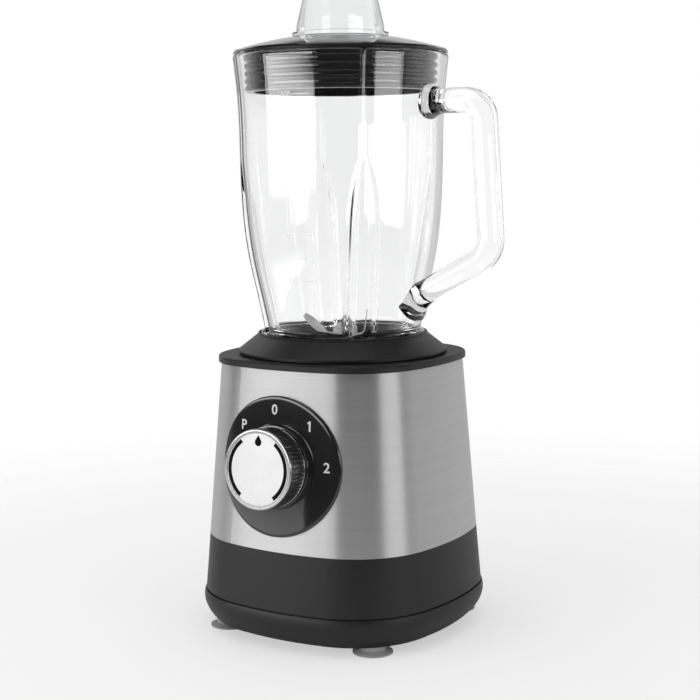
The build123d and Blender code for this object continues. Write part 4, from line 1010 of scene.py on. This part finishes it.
class SpeedKnob(bpy.types.Operator):
    """Makes the bright knob with its ribbed side and bezel."""
    bl_idname = "countertop.speed_knob"
    bl_label = "Speed knob"

    def execute(self, context):
        knob = context.scene.countertop_knob
        foot = dial_height("knob_body", min)
        top = dial_height("knob_body", max)
        face = dial_height("knob_face", min)
        side = knob.radius - knob.rib_depth
        well = knob.radius - knob.bezel_width
        bore = side - knob.wall
        outline = rounded([
            (bore, foot, 0.0), (knob.radius, foot, knob.edge_round),
            (knob.radius, foot + knob.rib_low, knob.band_round), (side, foot + knob.rib_low, 0.0),
            (side, top - knob.bezel, 0.0), (knob.radius, top - knob.bezel, knob.band_round),
            (knob.radius, top, knob.bezel_round), (well, top, knob.edge_round), (well, face, 0.0),
            (0.0, face, 0.0), (0.0, face - knob.head, 0.0), (bore, face - knob.head, 0.0)])
        body = lathe("knob_rim", outline, dial_place(), KNOB_COLUMNS)
        add_piece("knob_rim", body, "knob", "bright_chrome", replaced=["knob_body"])
        ribs = knob_ribs(knob, foot, top)
        smooth(ribs)
        add_piece("knob_ribs", ribs, "knob", "bright_chrome")
        return {"FINISHED"}


def flat_text(words, height, thick, weight=0.0):
    """Mesh of words in their own plane, centred, from nothing to a thickness."""
    curve = bpy.data.curves.new("words", "FONT")
    curve.body = words
    curve.size = height / CAP_SHARE
    curve.align_x = "CENTER"
    curve.align_y = "CENTER"
    curve.extrude = thick / 2
    curve.offset = weight
    curve.resolution_u = LETTER_BENDS
    text = bpy.data.objects.new("words", curve)
    bpy.context.scene.collection.objects.link(text)
    mesh = evaluated_mesh(text)
    bpy.data.objects.remove(text)
    low = min(vertex.co.y for vertex in mesh.vertices)
    high = max(vertex.co.y for vertex in mesh.vertices)
    return moved(mesh, Matrix.Translation((0, -(low + high) / 2, thick / 2)))


def flat_shape(outline, thick):
    """Mesh of a closed outline in a plane, from nothing to a thickness."""
    count = len(outline)
    points = [(x, y, z) for z in (0.0, thick) for x, y in outline]
    faces = [tuple(reversed(range(count))), tuple(range(count, 2 * count))]
    faces += [(k, (k + 1) % count, (k + 1) % count + count, k + count) for k in range(count)]
    return make_mesh("flat_shape", points, faces)


def merged(name, meshes):
    """One mesh of several."""
    work = bmesh.new()
    for mesh in meshes:
        work.from_mesh(mesh)
    bmesh.ops.triangulate(work, faces=[face for face in work.faces if len(face.verts) > 4])
    joined = bpy.data.meshes.new(name)
    work.to_mesh(joined)
    work.free()
    return tidy_mesh(joined, PRINT_SHARP)


def laid_on(mesh, surface, place, gap):
    """Lays a flat mesh a gap over a surface, looking against the third axis of a frame."""
    out = place.to_3x3() @ Vector((0, 0, 1))
    for vertex in mesh.vertices:
        flat = place @ Vector((vertex.co.x, vertex.co.y, 0))
        spot = surface.ray_cast(flat + out * RAY_START, -out)[0]
        if spot is None:
            raise RuntimeError("a mark lies beside its surface")
        vertex.co = spot + out * (vertex.co.z + gap)
    mesh.update()
    return mesh


def node_surface(node):
    """Surface of a node of the frame, for laying marks on."""
    mesh = frame["nodes"][node].data
    faces = [tuple(face.vertices) for face in mesh.polygons]
    return BVHTree.FromPolygons([vertex.co for vertex in mesh.vertices], faces)


class DialDisc(bpy.types.Operator):
    """Makes the black dial disc that follows the bowed steel, with a round edge and a seat for the knob."""
    bl_idname = "countertop.dial_disc"
    bl_label = "Dial disc"

    def execute(self, context):
        dial = context.scene.countertop_dial
        surface = node_surface("steel_shell")
        edge = [(dial.radius - dial.bevel * (1 - math.sin(a)), dial.lift - dial.bevel * (1 - math.cos(a)))
                for a in np.linspace(0, math.pi / 2, DIAL_EDGE_ROWS)]
        slope = np.linspace(dial.radius - dial.bevel, dial.seat_radius + dial.seat_round, DIAL_ROWS)[1:]
        rows = [(dial.radius, 0.0)] + edge[::-1] + [(radius, dial.lift) for radius in slope]
        ring = [self.on_steel(surface, radius, lift) for radius, lift in rows]
        low = dial.seat_height - dial.seat_round
        seat = [(dial.seat_radius, low)]
        seat += [(dial.seat_radius - dial.seat_round * (1 - math.cos(a)), low + dial.seat_round * math.sin(a))
                 for a in np.linspace(0, math.pi / 2, SEAT_ROWS)[1:]]
        seat += [(dial.bore, dial.seat_height), (dial.bore, dial.lift / 2)]
        ring += [[Vector((radius * c, radius * s, lift)) for c, s in DIAL_TURNS] for radius, lift in seat]
        ring.append(self.on_steel(surface, dial.bore, 0.0))
        place = dial_place()
        points = [place @ point for row in ring for point in row]
        mesh = make_mesh("dial_disc", points, grid_faces(len(ring), len(DIAL_TURNS), True))
        add_piece("dial_disc", tidy_mesh(mesh), "base", "gloss_black", replaced=["dial_plate"])
        return {"FINISHED"}

    def on_steel(self, surface, radius, lift):
        """Ring of points at a height over the steel, or over the dial's plane at the steel's hole."""
        place = dial_place()
        row = []
        for c, s in DIAL_TURNS:
            start = place @ Vector((radius * c, radius * s, RAY_START))
            spot = surface.ray_cast(start, -DIAL_OUT, RAY_REACH)[0]
            if spot is None:
                row.append(Vector((radius * c, radius * s, lift)))
            else:
                row.append(place.inverted() @ spot + Vector((0, 0, lift)))
        return row


class DialMarks(bpy.types.Operator):
    """Prints the positions on the dial, and the pointer and arcs on the knob's face."""
    bl_idname = "countertop.dial_marks"
    bl_label = "Dial marks"

    def execute(self, context):
        marks = context.scene.countertop_marks
        words = []
        for word, turn in DIAL_WORDS.items():
            side = math.radians(turn)
            spot = Vector((math.sin(side), math.cos(side), 0)) * marks.letter_radius
            if word == "1":
                outline = [(x * marks.letter, y * marks.letter) for x, y in FLAGGED_ONE]
                shape = flat_shape(outline, marks.ink)
            else:
                shape = flat_text(word, marks.letter, marks.ink, marks.letter_weight)
            words.append(moved(shape, Matrix.Translation(spot)))
        plate = node_surface("dial_plate")
        printed = laid_on(merged("dial_print", words), plate, dial_place(), marks.ink_gap)
        add_piece("dial_print", printed, "base", "gloss_black", "pale_ink")
        shapes = [flat_shape(pointer_outline(marks), marks.ink)]
        shapes += [flat_shape(arc_outline(marks, side), marks.ink) for side in (0.0, math.pi)]
        face = node_surface("knob_face")
        printed = laid_on(merged("knob_print", shapes), face, dial_place(), marks.ink_gap)
        add_piece("knob_print", printed, "knob", "white_face", "black_ink")
        return {"FINISHED"}


def pointer_outline(marks):
    """Drop shape with its tip outwards."""
    half = marks.drop_width / 2
    middle = marks.drop_tip - marks.drop_length + half
    turns = np.linspace(*DROP_BOW, DROP_POINTS)
    bow = [(half * math.cos(a), middle + half * math.sin(a)) for a in turns]
    return bow + [(DROP_POINT * half, marks.drop_tip), (-DROP_POINT * half, marks.drop_tip)]


def arc_outline(marks, side):
    """Ring piece about one side of the face."""
    turns = np.linspace(side - ARC_HALF, side + ARC_HALF, ARC_POINTS)
    inner = marks.arc_radius - marks.arc_width
    outer = [(marks.arc_radius * math.cos(a), marks.arc_radius * math.sin(a)) for a in turns]
    return outer + [(inner * math.cos(a), inner * math.sin(a)) for a in reversed(turns)]


def blade_arm(arm, blade, turn, low):
    """Bent and twisted arm of a blade with a ground leading edge, out from the shaft."""
    run = arm["bend_at"] + arm["length"]
    middle = Vector((0.0, 0.0))
    rows = []
    for step in range(ARM_ROWS + 1):
        gone = run * step / ARM_ROWS
        raised = ease(arm["bend_at"] - blade.bend_soft, arm["bend_at"] + blade.bend_soft, gone)
        pitch = math.radians(arm["bend"]) * raised
        along = Vector((math.cos(pitch), math.sin(pitch)))
        if step:
            middle = middle + along * (run / ARM_ROWS)
        out = max(0.0, gone - arm["bend_at"]) / arm["length"]
        wide = (arm["root"] + (arm["tip"] - arm["root"]) * out) * (1 - TIP_CUT * out**TIP_POWER)
        twist = math.radians(arm["twist"]) * ease(arm["bend_at"] - blade.bend_soft, run, gone)
        normal = Vector((-along.y, 0.0, along.x))
        side = Vector((0.0, 1.0, 0.0))
        cross = side * math.cos(twist) + normal * math.sin(twist)
        face = normal * math.cos(twist) - side * math.sin(twist)
        half = blade.thick / 2
        lead = wide / 2
        ground = min(blade.grind, GRIND_SHARE * lead)
        section = [(-lead, -half), (lead - ground, -half), (lead, -half), (lead, -half + blade.edge),
                   (lead - ground, half), (-lead, half)]
        centre = Vector((middle.x, 0, middle.y))
        rows.append([centre + cross * across + face * up for across, up in section])
    points = [point for row in rows for point in row]
    faces = capped_faces(len(rows), len(rows[0]))
    mesh = tidy_mesh(make_mesh("blade_arm", points, faces, BLADE_SHARP), BLADE_SHARP)
    lift = Matrix.Translation((0, 0, low + blade.thick / 2))
    return moved(mesh, jug_place() @ lift @ Matrix.Rotation(turn, 4, "Z"))


def blade_hub(blade, low):
    """Bored hub of a blade."""
    top = low + blade.thick
    outline = rounded([
        (blade.bore, low, 0.0), (blade.hub_radius, low, blade.hub_round),
        (blade.hub_radius, top, blade.hub_round), (blade.bore, top, 0.0)], steps=2)
    return lathe("blade_hub", outline, jug_place(), HUB_COLUMNS, BLADE_SHARP)


def shaft_cut(blade, low):
    """Plug that clears the bore of a blade where its arms reach in."""
    outline = [(0.0, low - CUT_REACH), (blade.bore, low - CUT_REACH), (blade.bore, low + CUT_REACH),
               (0.0, low + CUT_REACH)]
    return lathe("shaft_cut", outline, jug_place(), HUB_COLUMNS)


class Blades(bpy.types.Operator):
    """Makes the two blades with their ground edges."""
    bl_idname = "countertop.blades"
    bl_label = "Blades"

    def execute(self, context):
        blade = context.scene.countertop_blade
        spacer_low, spacer_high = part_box("blade_spacer")
        hub_lows = {"upper_blade": spacer_high.z, "lower_blade": spacer_low.z - blade.thick}
        for name, (turn, arms) in BLADES.items():
            low = hub_lows[name]
            mesh = blade_hub(blade, low)
            for index, arm in enumerate(arms):
                sized = {key: value if key in ("bend", "twist") else value * MM for key, value in arm.items()}
                side = math.radians(turn + 180 * index)
                mesh = join_solids(mesh, blade_arm(sized, blade, side, low))
            mesh = tidy_mesh(join_solids(mesh, shaft_cut(blade, low), "DIFFERENCE"), BLADE_SHARP)
            add_piece("cutting_" + name, mesh, "blades", "blade_steel", replaced=[name])
        return {"FINISHED"}


class GlassScale(bpy.types.Operator):
    """Prints the measuring lines and numbers on the glass."""
    bl_idname = "countertop.glass_scale"
    bl_label = "Measuring scale"

    def execute(self, context):
        marks = context.scene.countertop_marks
        shapes = [self.lines(marks)]
        for index in range(0, marks.tick_count, 2):
            words = str(marks.number_step * (index // 2 + 1))
            number = flat_text(words, marks.number_height, marks.ink)
            spot = (-marks.number_gap, index * marks.tick_step, 0)
            shapes.append(moved(number, Matrix.Translation(spot)))
        printed = merged("glass_scale", shapes)
        self.wrap(printed, context.scene.countertop_glass, marks)
        add_piece("glass_scale", printed, "jug", "clear_glass", "white_ink")
        return {"FINISHED"}

    def lines(self, marks):
        """Flat lines above each other, every second one shorter."""
        lines = Pattern("scale_lines", count=marks.tick_count, step=marks.tick_step, length=marks.tick_length,
                        width=marks.tick_width, ink=marks.ink, bends=marks.tick_bends, short=marks.tick_short)
        offset = lines.vector(0.0, lines.input("step"), 0.0)
        points = lines.add("GeometryNodeMeshLine", sockets={"Count": lines.input("count"), "Offset": offset})
        index = lines.add("GeometryNodeInputIndex")
        odd = lines.add("ShaderNodeMath", {"operation": "MODULO"}, {0: index, 1: 2.0})
        bar = lines.add("GeometryNodeMeshCube", sockets={
            "Size": lines.vector(lines.input("length"), lines.input("width"), lines.input("ink")),
            "Vertices X": lines.input("bends")})
        middle = lines.vector(0.5 * lines.input("length"), 0.0, 0.5 * lines.input("ink"))
        placed = lines.add("GeometryNodeTransform", sockets={"Geometry": bar, "Translation": middle})
        scale = lines.vector(1 - lines.input("short") * odd, 1.0, 1.0)
        return lines.mesh(lines.repeat(points, placed, Scale=scale), "white_ink")

    def wrap(self, printed, glass, marks):
        """Bends the flat print round the glass wall."""
        wall = wall_line(glass)
        for vertex in printed.vertices:
            height = COLLAR_TOP + marks.scale_rise + vertex.co.y
            radius = wall(height) + vertex.co.z + marks.glass_gap
            turn = SCALE_ANGLE + vertex.co.x / radius
            vertex.co = (AXIS.x + radius * math.cos(turn), AXIS.y + radius * math.sin(turn), height)
        printed.update()


class GlassJug(bpy.types.Operator):
    """Makes the fluted glass jug with its spout and handle."""
    bl_idname = "countertop.glass_jug"
    bl_label = "Glass jug"

    def execute(self, context):
        glass = context.scene.countertop_glass
        handle = context.scene.countertop_handle
        mesh = join_solids(make_glass_wall(glass), make_handle(glass, handle))
        mesh.name = "jug_glass"
        smooth(mesh, GLASS_SHARP)
        add_piece("jug_glass", mesh, "jug", "clear_glass", replaced=["glass_jug"])
        return {"FINISHED"}


class DressNodes(bpy.types.Operator):
    """Makes the finishes and gives each piece of the frame its own."""
    bl_idname = "countertop.dress_nodes"
    bl_label = "Finishes"

    def execute(self, context):
        finishes = make_finishes(context.scene.countertop_colours)
        for part in frame["record"]["subparts"]:
            mesh = frame["nodes"][part["node"]].data
            mesh.materials.clear()
            mesh.materials.append(finishes[part["material_slot"]])
        return {"FINISHED"}


class Stage(bpy.types.Operator):
    """Makes the floor, the lamps, the world and the camera."""
    bl_idname = "countertop.stage"
    bl_label = "Studio"

    def execute(self, context):
        studio = context.scene.countertop_studio
        make_floor(studio)
        make_world(context.scene, studio)
        for lamp in LAMPS:
            make_lamp(*lamp)
        make_camera(context.scene, studio)
        context.scene.view_settings.view_transform = "Standard"
        return {"FINISHED"}


def make_lamp(name, turn, distance, height, width, tall, watts, dark, full):
    """Soft box that faces the middle of the blender."""
    light = bpy.data.lights.new(name, "AREA")
    light.shape = "RECTANGLE"
    light.size = width
    light.size_y = tall
    light.energy = watts
    light.use_nodes = True
    nodes = Nodes(light.node_tree)
    glow = next(node for node in light.node_tree.nodes if node.type == "EMISSION")
    spot = nodes.add("ShaderNodeNewGeometry", out="Parametric")
    up = nodes.add("ShaderNodeSeparateXYZ", sockets={0: spot}, out="Y")
    nodes.feed(glow.inputs["Strength"], nodes.smooth_step(up, dark, full))
    lamp = bpy.data.objects.new(name, light)
    side = math.radians(turn)
    lamp.location = (AXIS.x + distance * math.sin(side), AXIS.y - distance * math.cos(side), height)
    aim = Vector((AXIS.x, AXIS.y, AIM_HEIGHT)) - lamp.location
    lamp.rotation_euler = aim.to_track_quat("-Z", "Y").to_euler()
    bpy.context.scene.collection.objects.link(lamp)


def make_floor(studio):
    """Round pale floor that fades into the white surroundings, sooner where the camera sees it."""
    mesh = bpy.data.meshes.new("floor")
    work = bmesh.new()
    bmesh.ops.create_circle(work, cap_ends=True, radius=studio.floor_radius, segments=FLOOR_SIDES)
    work.to_mesh(mesh)
    work.free()
    floor = bpy.data.objects.new("floor", mesh)
    bpy.context.scene.collection.objects.link(floor)
    finish = Finish("floor")
    grain = finish.noise(40.0, detail=4.0)
    finish.set(Base_Color=finish.mottle(grain, studio.floor, 0.985, 1.0), Roughness=0.6)
    coordinates = finish.add("ShaderNodeTexCoord", out="Object")
    reach = finish.add("ShaderNodeVectorMath", {"operation": "LENGTH"}, {0: coordinates}, out="Value")
    seen = finish.add("ShaderNodeLightPath", out="Is Camera Ray")
    refracted = finish.add("ShaderNodeLightPath", out="Is Transmission Ray")
    near = 1 - finish.smooth_step(reach, studio.fade_start, studio.fade_end)
    fade = 1 - near * (1 - studio.floor_fade * (seen + refracted))
    finish.cover(fade, finish.add("ShaderNodeBsdfTransparent"))
    mesh.materials.append(finish.material)
    floor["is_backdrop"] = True


def make_world(scene, studio):
    """White surroundings as seen, a wall behind in mirrors, white in the far glass, soft light elsewhere."""
    scene.world = bpy.data.worlds.new("studio")
    scene.world.use_nodes = True
    nodes = Nodes(scene.world.node_tree)
    nodes.tree.nodes.clear()
    direction = nodes.add("ShaderNodeTexCoord", out="Generated")
    back = (math.sin(studio.wall_turn), -math.cos(studio.wall_turn), 0.0)
    behind = nodes.add(
        "ShaderNodeVectorMath", {"operation": "DOT_PRODUCT"}, {0: direction, 1: back}, out="Value")
    rise = nodes.add("ShaderNodeSeparateXYZ", sockets={0: direction}, out="Z")
    wall = nodes.smooth_step(behind, *WALL_SIDES) * nodes.smooth_step(rise, *WALL_TOP)
    passes = nodes.add("ShaderNodeLightPath", out="Transmission Depth")
    mirrors = nodes.add("ShaderNodeLightPath", out="Glossy Depth")
    far_wall = nodes.smooth_step(passes, *FAR_PASSES) * nodes.smooth_step(mirrors, *FAR_MIRRORINGS)
    room = studio.dark_room + (studio.back_wall - studio.dark_room) * wall
    mirrored = room + far_wall * (1 - room)
    spread_light = nodes.least_one(nodes.add("ShaderNodeLightPath", out="Diffuse Depth"))
    reflected = nodes.least_one(mirrors)
    unspread = reflected * mirrored + (1 - reflected)
    level = spread_light * studio.ambient + (1 - spread_light) * unspread
    ground = nodes.add("ShaderNodeBackground", sockets={"Color": (1.0, 1.0, 1.0, 1.0), "Strength": level})
    output = nodes.tree.nodes.new("ShaderNodeOutputWorld")
    nodes.feed(output.inputs["Surface"], ground)


def make_camera(scene, studio):
    """Camera at the photograph's place and angle."""
    data = bpy.data.cameras.new("camera")
    data.lens = studio.lens
    data.sensor_width = studio.sensor
    data.shift_x = studio.shift
    camera = bpy.data.objects.new("camera", data)
    turn = studio.azimuth
    flat = Vector((-math.sin(turn), math.cos(turn), 0))
    ahead = flat * math.cos(studio.pitch) + Vector((0, 0, math.sin(studio.pitch)))
    right = Vector((math.cos(turn), math.sin(turn), 0))
    up = right.cross(ahead)
    rolled_right = right * math.cos(studio.roll) + up * math.sin(studio.roll)
    rolled_up = up * math.cos(studio.roll) - right * math.sin(studio.roll)
    place = Vector((AXIS.x, AXIS.y, studio.height)) - flat * studio.distance
    columns = Matrix((rolled_right, rolled_up, -ahead)).transposed()
    camera.matrix_world = Matrix.Translation(place) @ columns.to_4x4()
    scene.collection.objects.link(camera)
    scene.camera = camera


class CountertopPanel(bpy.types.Panel):
    """Lists the makers of the blender's pieces."""
    bl_idname = "VIEW3D_PT_countertop"
    bl_label = "Countertop Blender"
    bl_space_type = "VIEW_3D"
    bl_region_type = "UI"
    bl_category = "Countertop Blender"

    def draw(self, context):
        for maker in OPERATORS:
            self.layout.operator(maker.bl_idname)


GROUPS = {
    "countertop_glass": GlassSizes,
    "countertop_handle": HandleSizes,
    "countertop_knob": KnobSizes,
    "countertop_dial": DialSizes,
    "countertop_blade": BladeSizes,
    "countertop_marks": MarkSizes,
    "countertop_colours": FinishColours,
    "countertop_studio": StudioSettings,
}
OPERATORS = [DressNodes, GlassJug, GlassScale, Blades, DialDisc, SpeedKnob, DialMarks, Stage]


def register():
    """Registers the classes and gives the scene their sizes."""
    for group in (*GROUPS.values(), *OPERATORS, CountertopPanel):
        bpy.utils.register_class(group)
    for name, group in GROUPS.items():
        setattr(bpy.types.Scene, name, PointerProperty(type=group))


def unregister():
    """Takes the classes and the scene's sizes away again."""
    for name in GROUPS:
        delattr(bpy.types.Scene, name)
    for group in reversed((*GROUPS.values(), *OPERATORS, CountertopPanel)):
        bpy.utils.unregister_class(group)


def main():
    """Makes the blender and its studio."""
    register()
    bpy.ops.countertop.dress_nodes()
    bpy.ops.countertop.glass_jug()
    bpy.ops.countertop.glass_scale()
    bpy.ops.countertop.blades()
    bpy.ops.countertop.dial_disc()
    bpy.ops.countertop.speed_knob()
    bpy.ops.countertop.dial_marks()
    bpy.ops.countertop.stage()
    boxes = {"cad": cad_box, "visual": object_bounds()}
    boxes = {name: [list(corner) for corner in box] for name, box in boxes.items()}


if __name__ == "__main__":
    main()
